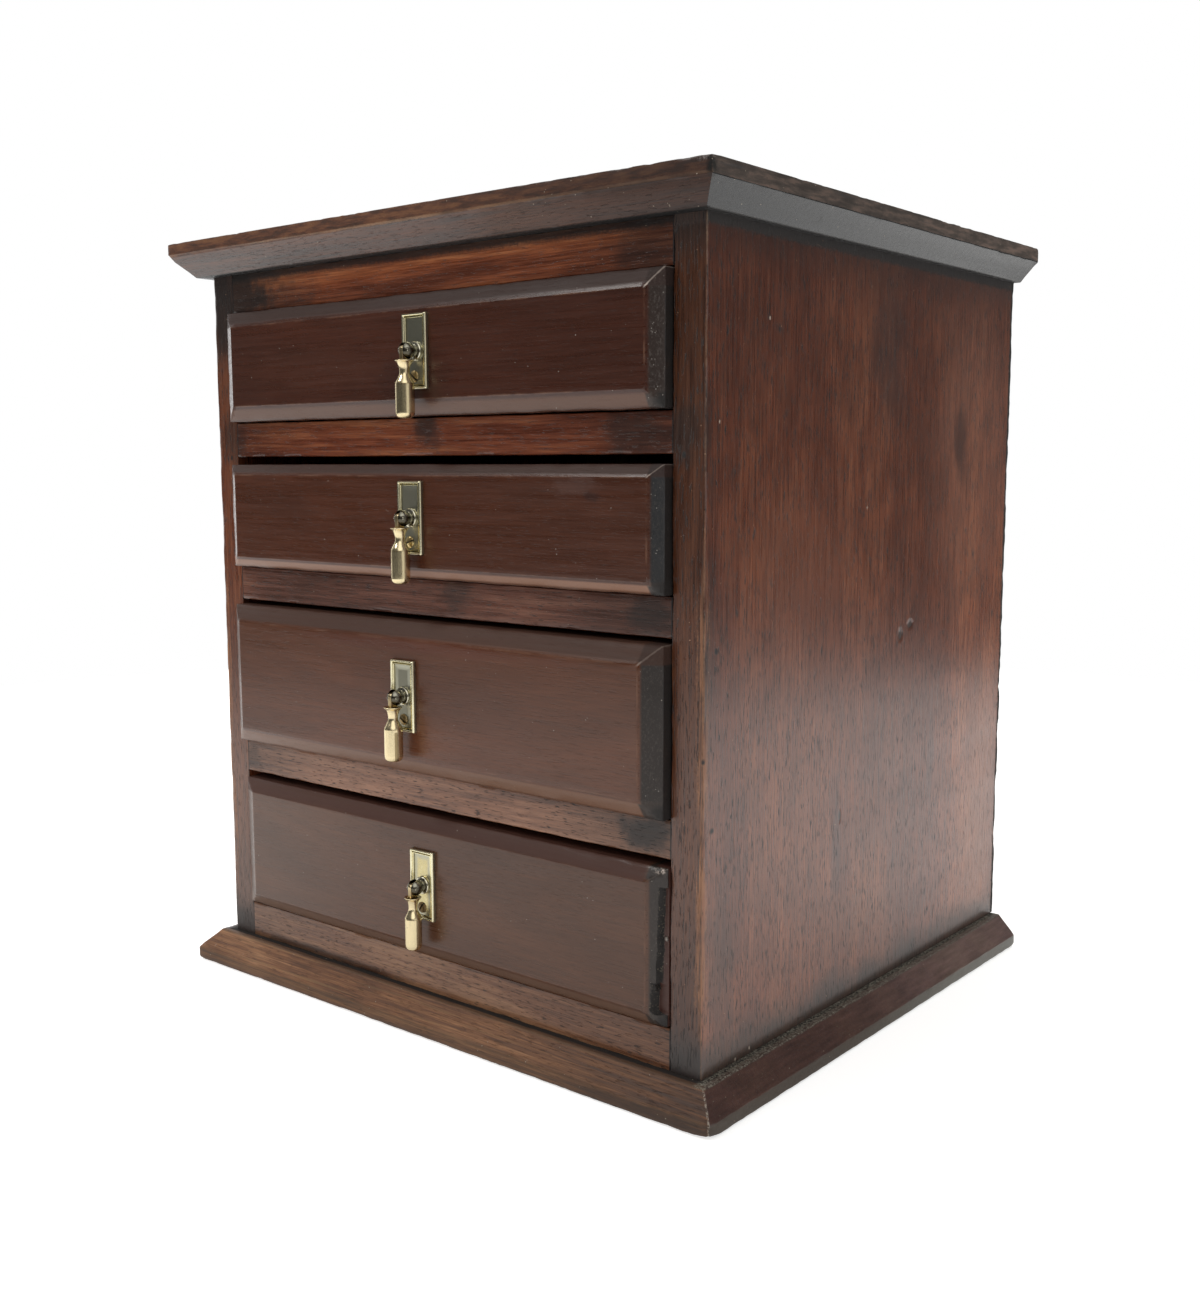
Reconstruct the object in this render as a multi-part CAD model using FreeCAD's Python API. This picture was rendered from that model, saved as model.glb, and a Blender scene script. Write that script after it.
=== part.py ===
"""Table-top parts cabinet in mahogany: four stacked drawers with fielded fronts and brass drop pulls.

Millimetres. X runs across the front, +Y goes to the back and +Z is up. The origin is the middle of the
footprint, so the cabinet stands on Z = 0.
"""
import FreeCAD
import Part
import os

V = FreeCAD.Vector

# ---- driving dimensions: carcase ---------------------------------------------------------------
CASE_W = 314.0            # over the two side boards
CASE_D = 290.0            # front edge of the sides to the back board's outer face
SIDE_T = 15.8             # side boards
BACK_T = 8.0              # back board, let into a rebate in each side
PLINTH_H = 16.6           # moulded board under the carcase
PLINTH_EDGE = 6.5         # upright part of its edge, below the bevel
BOTTOM_T = 18.5           # carcase bottom; its front edge shows as the bottom rail
TOP_T = 19.2              # carcase top; its front edge shows as the top rail
CORNICE_H = 16.8          # moulded board on top of the carcase
FASCIA_H = 6.2            # upright part of its edge, above the bevel
OVERHANG = 15.0           # both moulded boards, beyond the carcase at front and sides
LEDGE = 5.0               # flat strip between the carcase and the start of each bevel
PLINTH_SHORT = 3.0        # the plinth stops this far in front of the back
CORNICE_SHIFT = -1.8      # the cornice was fixed a little to the left
CORNICE_FORWARD = 1.0     # and its bevel reaches this much further in front
RAIL_D = 42.0             # front rails, front to back
RUNNER_H = 11.0           # runners behind the rails, tops level with them
RUNNER_W = 14.0           # width of runner that shows inside the carcase
TONGUE_L = 6.0            # tongues, tenons and runners all enter the side boards this far
ARRIS = 0.6               # rounding that handling leaves on the outer edges
ARRIS_WORN = 1.3          # the same at the foot of the plinth

# Drawer openings and the rails above them, from the bottom up.
OPENING_H = [73.1, 75.7, 57.3, 56.2]
RAIL_H = [16.9, 17.2, 17.4]

# ---- driving dimensions: drawers ---------------------------------------------------------------
SIDE_GAP = 0.7            # drawer to side board, each side
RUN_GAP = 0.3             # under the drawer sides
FOOT_GAP = 0.5            # under the drawer fronts
STOP_GAP = 0.3            # drawer sides to back board when shut
REAR_OF_FRONT = 12.0      # the fronts reach this far behind the carcase face
LINING_T = 8.0            # drawer sides and back
BOTTOM_BOARD_T = 5.0      # drawer bottoms
GROOVE_UP = 6.0           # drawer bottom above the lower edge of the sides
GROOVE_IN = 4.0           # how far it enters the sides and the front
TAIL_SLOPE = 1 / 6.0      # dovetail slope
TAIL_PITCH = 22.0         # wanted spacing of the dovetails

# Each drawer was fitted by hand, so no two stand quite alike. Drawer 1 is the top one.
# level: opening from the bottom; gap: slot left above the front; proud: edge of the front beyond the
# carcase face; bevel: its width at the ends, and along the top and bottom; rise: the bevel's height,
# from the edge out to the flat field; pull: centre of the back plate from the middle of the front (x, z).
DRAWERS = [
    {"no": 1, "level": 3, "gap": 0.4, "proud": 4.8, "bevel": (7.8, 7.8), "rise": 3.6, "pull": (3.6, 1.2)},
    {"no": 2, "level": 2, "gap": 3.8, "proud": 4.8, "bevel": (6.6, 5.4), "rise": 3.4, "pull": (-1.7, 2.0)},
    {"no": 3, "level": 1, "gap": 2.2, "proud": 5.2, "bevel": (9.4, 8.3), "rise": 5.4, "pull": (-6.3, 1.7)},
    {"no": 4, "level": 0, "gap": 3.3, "proud": 1.6, "bevel": (9.0, 6.6), "rise": 4.0, "pull": (-0.7, 2.1)},
]

# ---- driving dimensions: drop pulls ------------------------------------------------------------
PLATE_W = 15.4
PLATE_H = 34.0
PLATE_T = 2.2             # over the raised rim
PLATE_FIELD_T = 0.9       # inside the rim
RIM_W = 2.1
SHANK_R = 1.6             # threaded shank of the boss; it goes through plate and front
FLANGE_R = 3.9            # foot of the boss, on the plate
FLANGE_T = 2.0
DRUM_R = 2.9              # boss between its foot and the fork
PIN_OUT = 7.6             # pivot pin in front of the drawer's field
PIN_R = 0.8
PIN_CLEARANCE = 0.05      # radial, in the tongue of the pull
FORK_W = 5.2              # over the two ears
FORK_SLOT = 2.0
EAR_R = 3.2
TONGUE_T = 1.6            # flat of the pull, in the fork
PULL_R = 4.05
PULL_LOW = 30.3           # pin to the end of the pull

# ---- places worked out from them ---------------------------------------------------------------
FRONT = OVERHANG - (CASE_D + OVERHANG) / 2     # Y of the carcase face
BACK = FRONT + CASE_D
REAR = BACK - BACK_T                           # front face of the back board
HALF = CASE_W / 2
INNER = HALF - SIDE_T                          # half the width between the side boards
LOW = PLINTH_H                                 # Z where the side boards start
FLOOR = LOW + BOTTOM_T
HIGH = FLOOR + sum(OPENING_H) + sum(RAIL_H) + TOP_T
TOTAL_H = HIGH + CORNICE_H


# ---- small tools -------------------------------------------------------------------------------
def box(x0, x1, y0, y1, z0, z1):
    """Block between two corners."""
    return Part.makeBox(x1 - x0, y1 - y0, z1 - z0, V(x0, y0, z0))


def cylinder(r, length, at, along):
    """Round bar from a point along a direction."""
    return Part.makeCylinder(r, length, at, along)


def prism(points, along):
    """Closed outline pushed along a vector."""
    return Part.Face(Part.makePolygon(points + [points[0]])).extrude(along)


def bevelled(x, z, x_far, z_far, y, y_far):
    """Block whose rectangle at y tapers, by flat bevels, to another one at y_far."""
    flip = y_far < y
    near, far = ((x_far, z_far), (x, z)) if flip else ((x, z), (x_far, z_far))
    (x0, x1), (z0, z1) = near
    (u0, u1), (w0, w1) = far
    return Part.makeWedge(x0, min(y, y_far), z0, w0, u0, x1, max(y, y_far), z1, w1, u1)


def cut_all(shape, tools):
    """Take every tool out of a shape."""
    for tool in tools:
        shape = shape.cut(tool)
    return shape


def join(shape, others):
    """One clean solid from a shape and what is added to it."""
    for other in others:
        shape = shape.fuse(other)
    return shape.removeSplitter()


def mirror_x(shape):
    """The same piece for the other side."""
    return shape.mirror(V(0, 0, 0), V(1, 0, 0))


def edges_where(shape, test):
    """Edges whose ends and middle all pass a test."""
    picked = []
    for edge in shape.Edges:
        middle = edge.valueAt((edge.FirstParameter + edge.LastParameter) / 2)
        if all(test(p) for p in [v.Point for v in edge.Vertexes] + [middle]):
            picked.append(edge)
    return picked


def close(a, b):
    """True for two equal lengths."""
    return abs(a - b) < 1e-4


def save(shape, node):
    """Write one piece."""
    assert shape.isValid() and len(shape.Solids) == 1, node
    shape.Solids[0].exportStep("parts/" + node + ".step")


# ---- carcase -----------------------------------------------------------------------------------
def level_floor(level):
    """Height of the floor of a drawer opening."""
    return FLOOR + sum(OPENING_H[:level]) + sum(RAIL_H[:level])


def moulded_board(z_ledge, z_break, z_face, end, forward, worn):
    """Board with a bevelled edge: narrow at the carcase, then out at the bevel to an upright edge.

    The edge returns along the front and both sides; the board is cut square behind, at its end.
    """
    def spans(out, ahead):
        """Width, and depth as measured down a turned axis, for one overhang."""
        return (-HALF - out, HALF + out), (-end, out + ahead - FRONT)

    bevel = bevelled(*spans(LEDGE, 0), *spans(OVERHANG, forward), z_ledge, z_break)
    bevel.rotate(V(0, 0, 0), V(1, 0, 0), 90)
    out = HALF + OVERHANG
    low, high = sorted((z_break, z_face))
    board = join(bevel, [box(-out, out, FRONT - OVERHANG - forward, end, low, high)])
    outer = edges_where(board, lambda p: close(p.z, z_face) and not close(p.y, end))
    return board.makeFillet(worn, outer)


def tongue_board(z0, z1, tongue_t):
    """Carcase top or bottom: it fits between the sides and has a stopped tongue along each end."""
    middle = (z0 + z1) / 2
    board = box(-INNER, INNER, FRONT, REAR, z0, z1)
    edge_z = z1 if z0 == LOW else z0
    arris = edges_where(board, lambda p: close(p.y, FRONT) and close(p.z, edge_z))
    board = board.makeChamfer(ARRIS * 0.6, arris)
    tongue = box(
        -INNER - TONGUE_L, INNER + TONGUE_L, FRONT + 12, REAR,
        middle - tongue_t / 2, middle + tongue_t / 2)
    return join(board, [tongue])


def rail(level):
    """Front rail above an opening, with a stub tenon at each end."""
    z0 = level_floor(level) + OPENING_H[level]
    z1 = z0 + RAIL_H[level]
    bar = box(-INNER, INNER, FRONT, FRONT + RAIL_D, z0, z1)
    long_edges = edges_where(bar, lambda p: close(p.y, FRONT) and (close(p.z, z0) or close(p.z, z1)))
    bar = bar.makeChamfer(ARRIS * 0.6, long_edges)
    tenon = box(-INNER - TONGUE_L, INNER + TONGUE_L, FRONT + 8, FRONT + RAIL_D - 6, z0 + 4, z1 - 4)
    return join(bar, [tenon])


def runner(level, side):
    """Strip that carries a drawer's side; its outer edge is housed in the side board."""
    z1 = level_floor(level)
    strip = box(INNER - RUNNER_W, INNER + TONGUE_L, FRONT + RAIL_D, REAR, z1 - RUNNER_H, z1)
    return strip if side > 0 else mirror_x(strip)


def side_board(side, let_in):
    """Side of the carcase, rebated for the back board and cut to take every piece that enters it."""
    board = box(INNER, HALF, FRONT, BACK, LOW, HIGH)
    outer = edges_where(board, lambda p: close(p.x, HALF) and (close(p.y, FRONT) or close(p.y, BACK)))
    board = board.makeChamfer(ARRIS, outer)
    board = board.cut(box(INNER, INNER + SIDE_T / 2, REAR, BACK, LOW, HIGH))
    if side < 0:
        board = mirror_x(board)
    return cut_all(board, let_in).removeSplitter()


def build_carcase():
    """The boards that stand still."""
    pieces = {
        "plinth_board": moulded_board(LOW, PLINTH_EDGE, 0.0, BACK - PLINTH_SHORT, 0, ARRIS_WORN),
        "cornice_board": moulded_board(HIGH, TOTAL_H - FASCIA_H, TOTAL_H, BACK, CORNICE_FORWARD, ARRIS),
        "carcase_bottom": tongue_board(LOW, FLOOR, 8.0),
        "carcase_top": tongue_board(HIGH - TOP_T, HIGH, 8.0),
        "back_board": box(-INNER - SIDE_T / 2, INNER + SIDE_T / 2, REAR, BACK, LOW, HIGH),
    }
    for level in range(3):
        name = "rail_%d" % (3 - level)
        pieces[name] = rail(level)
        above = level + 1
        pieces["runner_%d_right" % (3 - level)] = runner(above, 1)
        pieces["runner_%d_left" % (3 - level)] = runner(above, -1)
    pieces["cornice_board"].translate(V(CORNICE_SHIFT, 0, 0))
    let_in = [s for n, s in pieces.items() if n.startswith(("rail", "runner", "carcase"))]
    pieces["side_right"] = side_board(1, let_in)
    pieces["side_left"] = side_board(-1, let_in)
    return pieces


# ---- drawers -----------------------------------------------------------------------------------
def fielded_front(d):
    """Front board with the edges bevelled back from a raised field."""
    x, z0, z1 = d["half_w"], d["z0"], d["z1"]
    y_edge = FRONT - d["proud"]
    y_field = y_edge - d["rise"]
    u, w = d["bevel"]
    board = box(-x, x, y_edge, FRONT + REAR_OF_FRONT, z0, z1)
    fielding = bevelled((-x, x), (z0, z1), (u - x, x - u), (z0 + w, z1 - w), y_edge, y_field)
    return join(board, [fielding])


def tail_rows(z0, z1):
    """Centres of the dovetails up a corner, evenly spaced, with half a pin at top and bottom."""
    count = max(2, int(round((z1 - z0) / TAIL_PITCH)))
    step = (z1 - z0) / count
    return [z0 + step * (i + 0.5) for i in range(count)], step


def tails(d, x0, x1, y_root, y_end):
    """Dovetails on one end of a drawer side; they widen away from the board."""
    rows, step = tail_rows(d["z0"] + 1.5, d["side_top"])
    reach = abs(y_end - y_root)
    root = step * 0.32
    tip = root + reach * TAIL_SLOPE
    made = []
    for z in rows:
        outline = [
            V(x0, y_root, z - root), V(x0, y_end, z - tip),
            V(x0, y_end, z + tip), V(x0, y_root, z + root)]
        made.append(prism(outline, V(x1 - x0, 0, 0)))
    return made


def drawer_box(d):
    """Sides dovetailed into the front and back, and a grooved-in bottom."""
    x1 = d["half_w"]
    x0 = x1 - LINING_T
    y_front = FRONT + REAR_OF_FRONT
    y_end = REAR - STOP_GAP
    y_back = y_end - LINING_T
    z0, top = d["z0"] - FOOT_GAP + RUN_GAP, d["side_top"]
    groove = z0 + GROOVE_UP
    bottom = box(
        -x0 - GROOVE_IN, x0 + GROOVE_IN, y_front - GROOVE_IN, y_end, groove, groove + BOTTOM_BOARD_T)
    back = box(-x1, x1, y_back, y_end, groove + BOTTOM_BOARD_T, top - 3)
    front_tails = tails(d, x0, x1, y_front, y_front - LINING_T)
    back_tails = tails(d, x0, x1, y_back, y_end)
    plank = box(x0, x1, y_front, y_back, z0, top)
    side = join(plank, front_tails + back_tails).cut(bottom)
    right = side.removeSplitter()
    left = mirror_x(right)
    front = cut_all(fielded_front(d), [right, left, bottom])
    back = cut_all(back, [right, left])
    return {"front": front, "side_right": right, "side_left": left, "back": back, "bottom": bottom}


def broken_edge(d):
    """Split along the right-hand bevel of the bottom front, where the edge has broken away."""
    x, z0, z1 = d["half_w"], d["z0"], d["z1"]
    steps = [
        (0.88, 1.8), (0.70, 2.4), (0.58, 3.6), (0.52, 3.0), (0.40, 4.2), (0.24, 4.6), (0.12, 5.9),
        (0.08, 4.4)]
    points = [V(x + 1, FRONT - 0.3, z0 + steps[0][0] * (z1 - z0))]
    for up, inward in steps:
        points.append(V(x - inward, FRONT - 0.3, z0 + up * (z1 - z0)))
    points.append(V(x + 1, FRONT - 0.3, z0 + steps[-1][0] * (z1 - z0)))
    return prism(points, V(0, -20, 0))


# ---- drop pulls --------------------------------------------------------------------------------
def turned(outline, axis):
    """Outline of straight runs and arcs turned a full circle about an axis through the origin."""
    return Part.Face(Part.Wire(outline)).revolve(V(0, 0, 0), axis, 360)


def chain(points):
    """Straight edges from point to point."""
    return [Part.makeLine(a, b) for a, b in zip(points, points[1:])]


def lathe(radii, along_y):
    """Turned piece from (distance, radius) pairs, along Y or hanging down Z, closed on its axis."""
    ends = [(radii[0][0], 0.0)] + radii + [(radii[-1][0], 0.0), (radii[0][0], 0.0)]
    if along_y:
        return turned(chain([V(0, at, r) for at, r in ends]), V(0, 1, 0))
    return turned(chain([V(r, 0, -at) for at, r in ends]), V(0, 0, 1))


def plate():
    """Back plate: a raised, bevelled rim round a flat sunk field."""
    w, h = PLATE_W / 2, PLATE_H / 2
    body = box(-w, w, -PLATE_T, 0, -h, h)
    body = body.makeChamfer(0.9, edges_where(body, lambda p: close(p.y, -PLATE_T)))
    a, b = w - RIM_W, h - RIM_W
    sunk = bevelled(
        (-a - 0.3, a + 0.3), (-b - 0.3, b + 0.3), (0.4 - a, a - 0.4), (0.4 - b, b - 0.4),
        -PLATE_T, -PLATE_FIELD_T)
    return cut_all(body, [sunk, cylinder(SHANK_R, 10, V(0, -5, 0), V(0, 1, 0))])


def boss(front_t):
    """Turned boss with a forked knuckle in front and a threaded shank behind."""
    face = -PLATE_FIELD_T
    profile = [
        (front_t + 4.2, SHANK_R), (face, SHANK_R), (face, FLANGE_R), (face - FLANGE_T, FLANGE_R),
        (face - FLANGE_T, DRUM_R), (-4.6, DRUM_R)]
    body = lathe(profile, True)
    knuckle = cylinder(EAR_R, FORK_W, V(-FORK_W / 2, -PIN_OUT, 0), V(1, 0, 0))
    neck = box(-FORK_W / 2, FORK_W / 2, -PIN_OUT, -3.6, -2.6, 2.6)
    body = join(body, [knuckle, neck])
    slot = box(-FORK_SLOT / 2, FORK_SLOT / 2, -PIN_OUT - 6, -PIN_OUT + EAR_R + 0.5, -6, 6)
    bore = cylinder(PIN_R, 20, V(-10, -PIN_OUT, 0), V(1, 0, 0))
    return body.cut(slot).cut(bore)


def pin():
    """Pivot pin, riveted over a little outside each ear."""
    end = FORK_W / 2 + 0.6
    return cylinder(PIN_R, 2 * end, V(-end, -PIN_OUT, 0), V(1, 0, 0))


def pull():
    """Turned drop: collar, neck, sloping shoulder and a straight body, with a flat tongue for the fork."""
    r, low = PULL_R, PULL_LOW
    drop = lathe([(4.3, r), (6.3, r), (6.3, 2.7), (11.6, 2.7), (15.0, r), (low, r)], False)
    half = TONGUE_T / 2
    eye = cylinder(2.7, TONGUE_T, V(-half, 0, 0), V(1, 0, 0))
    flat = box(-half, half, -2.5, 2.5, -5.0, 0)
    drop = join(drop, [eye, flat]).cut(cylinder(PIN_R + PIN_CLEARANCE, 10, V(-5, 0, 0), V(1, 0, 0)))
    drop.translate(V(0, -PIN_OUT, 0))
    return drop


def nut(front_t):
    """Square nut on the shank, inside the drawer."""
    blank = box(-3.6, 3.6, front_t, front_t + 2.6, -3.6, 3.6)
    return blank.cut(cylinder(SHANK_R, 10, V(0, front_t - 1, 0), V(0, 1, 0)))


def handle(d):
    """All the brass of one drawer, in its place on the field, and its hole through the front."""
    dx, dz = d["pull"]
    y_field = FRONT - d["proud"] - d["rise"]
    at = V(dx, y_field, (d["z0"] + d["z1"]) / 2 + dz)
    front_t = FRONT + REAR_OF_FRONT - y_field
    pieces = {
        "plate": plate(), "boss": boss(front_t), "nut": nut(front_t), "pin": pin(), "pull": pull()}
    for piece in pieces.values():
        piece.translate(at)
    return pieces


def build_drawer(row):
    """One drawer with its handle."""
    d = dict(row)
    floor = level_floor(d["level"])
    d["z0"] = floor + FOOT_GAP
    d["z1"] = floor + OPENING_H[d["level"]] - d["gap"]
    d["side_top"] = d["z1"] - 2.0
    d["half_w"] = INNER - SIDE_GAP
    wood = drawer_box(d)
    brass = handle(d)
    wood["front"] = wood["front"].cut(brass["boss"])
    if d["no"] == 4:
        wood["front"] = wood["front"].cut(broken_edge(d))
    named = {"drawer%d_%s" % (d["no"], n): s for n, s in wood.items()}
    named.update({"handle%d_%s" % (d["no"], n): s for n, s in brass.items()})
    return named


def main():
    """Build and write every piece."""
    os.makedirs("parts", exist_ok=True)
    pieces = build_carcase()
    for row in DRAWERS:
        pieces.update(build_drawer(row))
    for node, shape in pieces.items():
        save(shape, node)
    print(len(pieces), "pieces, height", round(TOTAL_H, 2), "front face at", round(FRONT, 2))


main()
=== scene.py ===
"""Looks of the table-top parts cabinet: worn mahogany, brass drop pulls, pale table and soft light."""

from collections import namedtuple
from functools import partial, reduce
from math import atan2, copysign, cos, degrees, hypot, pi, radians, sin, sqrt

import bmesh
import bpy
from mathutils import Matrix, Vector
from mathutils.noise import noise


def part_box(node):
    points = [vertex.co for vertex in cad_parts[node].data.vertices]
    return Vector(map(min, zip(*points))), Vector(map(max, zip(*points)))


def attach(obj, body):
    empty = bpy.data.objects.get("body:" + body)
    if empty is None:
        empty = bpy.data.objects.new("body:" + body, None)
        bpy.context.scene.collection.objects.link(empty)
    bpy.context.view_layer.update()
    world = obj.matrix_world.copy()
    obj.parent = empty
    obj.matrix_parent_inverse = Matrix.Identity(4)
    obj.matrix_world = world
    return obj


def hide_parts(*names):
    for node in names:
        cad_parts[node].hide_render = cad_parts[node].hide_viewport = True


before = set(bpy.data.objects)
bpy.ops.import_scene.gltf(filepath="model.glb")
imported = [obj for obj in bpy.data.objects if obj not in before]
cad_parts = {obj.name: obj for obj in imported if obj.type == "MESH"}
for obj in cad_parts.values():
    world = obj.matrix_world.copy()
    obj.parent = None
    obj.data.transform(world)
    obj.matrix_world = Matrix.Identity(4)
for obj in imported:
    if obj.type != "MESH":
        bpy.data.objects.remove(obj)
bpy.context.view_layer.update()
MM = 0.001

# camera fitted to the cabinet's straight edges in the photo
PHOTO_HEIGHT = 1298     # pixels
FOCAL = 1416.18         # pixels
SENSOR = 36             # millimetres
CAMERA_AT = (0.47909, -0.59892, 0.27137)
CAMERA_TURN, CAMERA_DOWN, CAMERA_ROLL = 39.16, 7.44, -0.11     # degrees

# light that only polished surfaces see: azimuth and rise of a patch in degrees, the cosines at which it
# begins and is full, and its brightness
ROOM_PATCHES = (
    (178, 8, 0.87, 0.97, 0.45),     # window on the left
    (100, 8, 0.87, 0.98, 0.16),     # pale wall behind the cabinet
    (352, 4, 0.9, 0.985, 0.6),      # window on the right
    (316, 42, 0.84, 0.96, 1.2),     # lamp high up behind the camera
    (160, 45, 0.93, 0.98, 1.5),     # lamp high up on the left
    (317, 0, 0.8, 0.95, 0.05))      # wall behind the camera
ROOM_DIM = 0.06                     # everywhere

# name, place, size, watts and colour
LAMPS = (
    ("ceiling_lamp", (-0.75, -1, 1.55), (0.5, 0.5), 7, (1, 0.985, 0.96)),
    ("window", (-1.45, 0.55, 0.6), (1.5, 1.1), 8.5, (0.97, 0.985, 1)))
LAMPS_AIM = Vector((0, 0, 0.2))

FLOOR_RADIUS = 1.22
FLOOR_DROP = 0.0002     # below the cabinet's underside
FLOOR_GLOW = 0.62       # where the camera sees it


# ---- shader graphs ----
def folded(operation):
    """Method that joins any number of values by one math operation."""
    return lambda graph, *values: reduce(partial(graph.math, operation), values)


class Graph:
    """A node tree, and the few node shapes that everything here is wired from."""

    def __init__(self, tree):
        self.tree = tree
        tree.nodes.clear()

    def node(self, kind, inputs=(), **props):
        """New shader node with its properties set and its inputs filled, in order or by name."""
        n = self.tree.nodes.new("ShaderNode" + kind)
        for key, value in props.items():
            setattr(n, key, value)
        for key, value in inputs.items() if isinstance(inputs, dict) else enumerate(inputs):
            self.put(n.inputs[key], value)
        return n

    def put(self, socket, value):
        """Links or sets a socket; a colour may come without its alpha."""
        if isinstance(value, bpy.types.NodeSocket):
            self.tree.links.new(value, socket)
        elif value is not None:
            bare = socket.type == "RGBA" and len(value) == 3
            socket.default_value = (*value, 1) if bare else value

    def split(self, vector):
        return self.node("SeparateXYZ", (vector,)).outputs

    def vec(self, op, a, b=None):
        n = self.node("VectorMath", (a, b), operation=op)
        return n.outputs["Value" if op in ("LENGTH", "DOT_PRODUCT") else 0]

    def math(self, op, *values):
        return self.node("Math", values, operation=op).outputs[0]

    add, sub, mul, most = (folded(op) for op in ("ADD", "SUBTRACT", "MULTIPLY", "MAXIMUM"))

    def flip(self, mask):
        return self.sub(1, mask)

    def scale_add(self, value, factor, plus):
        return self.math("MULTIPLY_ADD", value, factor, plus)

    def jitter(self, value, reach):
        """A 0 to 1 pattern as an offset either way."""
        return self.scale_add(value, 2 * reach, -reach)

    def away(self, axis, value):
        """How far apart two values are."""
        return self.math("ABSOLUTE", self.sub(axis, value))

    def step(self, value, low, high, out_low=0, out_high=1):
        """Smooth step of a value between two limits."""
        limits = (value, low, high, out_low, out_high)
        return self.node("MapRange", limits, interpolation_type="SMOOTHSTEP").outputs[0]

    def noise(self, where, scale, detail=2, rough=0.5, twist=0):
        values = {"Vector": where, "Scale": scale, "Detail": detail, "Roughness": rough, "Distortion": twist}
        return self.node("TexNoise", values).outputs[0]

    def mix(self, share, a, b, blend="MIX"):
        n = self.node("Mix", data_type="RGBA", blend_type=blend)
        for index, value in ((0, share), (6, a), (7, b)):
            self.put(n.inputs[index], value)
        return n.outputs[2]

    def tinted(self, colour, share, factor, elsewhere=(1, 1, 1)):
        """A colour times one factor where a mask is, and times another elsewhere."""
        return self.mix(1, colour, self.mix(share, elsewhere, factor), "MULTIPLY")

    def cover(self, colour, mask, paint):
        """Another colour, in thousandths, where a mask is."""
        return self.mix(mask, colour, scaled(paint, 0.001) if isinstance(paint, tuple) else paint)

    def ramp(self, value, stops):
        """Colours, in thousandths, at places from 0 to 1."""
        n = self.node("ValToRGB", (value,))
        e = n.color_ramp.elements
        while len(e) < len(stops):
            e.new(0.5)
        for item, (at, colour) in zip(e, stops):
            item.position = at
            item.color = (*scaled(colour, 0.001), 1)
        return n.outputs[0]

    def bump(self, height, distance, strength):
        values = {"Strength": strength, "Distance": distance, "Height": height}
        return self.node("Bump", values).outputs[0]

    def attribute(self, name):
        return self.node("Attribute", attribute_name=name).outputs["Fac"]

    def background(self, colour, strength):
        return self.node("Background", (colour, strength)).outputs[0]

    def either(self, share, a, b):
        return self.node("MixShader", (share, a, b)).outputs[0]


class Look(Graph):
    """A material whose patterns lie in the cabinet's own frame, in millimetres."""

    def __init__(self, name):
        self.mat = bpy.data.materials.new(name)
        self.mat.use_nodes = True
        super().__init__(self.mat.node_tree)
        place = self.node("TexCoord").outputs["Object"]
        self.mm = self.vec("MULTIPLY", place, (1000, 1000, 1000))
        self.x, self.y, self.z = self.split(self.mm)

    def stretch(self, *factors):
        """The place, with each direction scaled."""
        return self.vec("MULTIPLY", self.mm, factors)

    def zone(self, *masks, **limits):
        """Masks times smooth steps between two places along an axis."""
        return self.mul(*masks, *(self.step(getattr(self, axis), *ends) for axis, ends in limits.items()))

    def blot(self, centre, radii, ragged=0.5, scale=0.12):
        """Soft ragged spot round a place."""
        d = self.vec("MULTIPLY", self.vec("SUBTRACT", self.mm, centre), tuple(1 / r for r in radii))
        edge = self.jitter(self.noise(self.mm, scale, 3, 0.6), ragged)
        return self.step(self.add(self.vec("LENGTH", d), edge), 1.15, 0.35)

    def finish(self, colour, rough, normal, metal=0, coat=0, coat_rough=0.1, level=0.5):
        shader = self.node("BsdfPrincipled", {
            "Base Color": colour, "Roughness": rough, "Normal": normal, "Metallic": metal, "IOR": 1.5,
            "Specular IOR Level": level, "Coat Weight": coat, "Coat Roughness": coat_rough})
        self.node("OutputMaterial", (shader.outputs[0],))
        return self.mat


def along(grain, factor):
    """Scale that draws a pattern out along the grain."""
    return tuple(factor if axis == grain else 1 for axis in "xyz")


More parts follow.
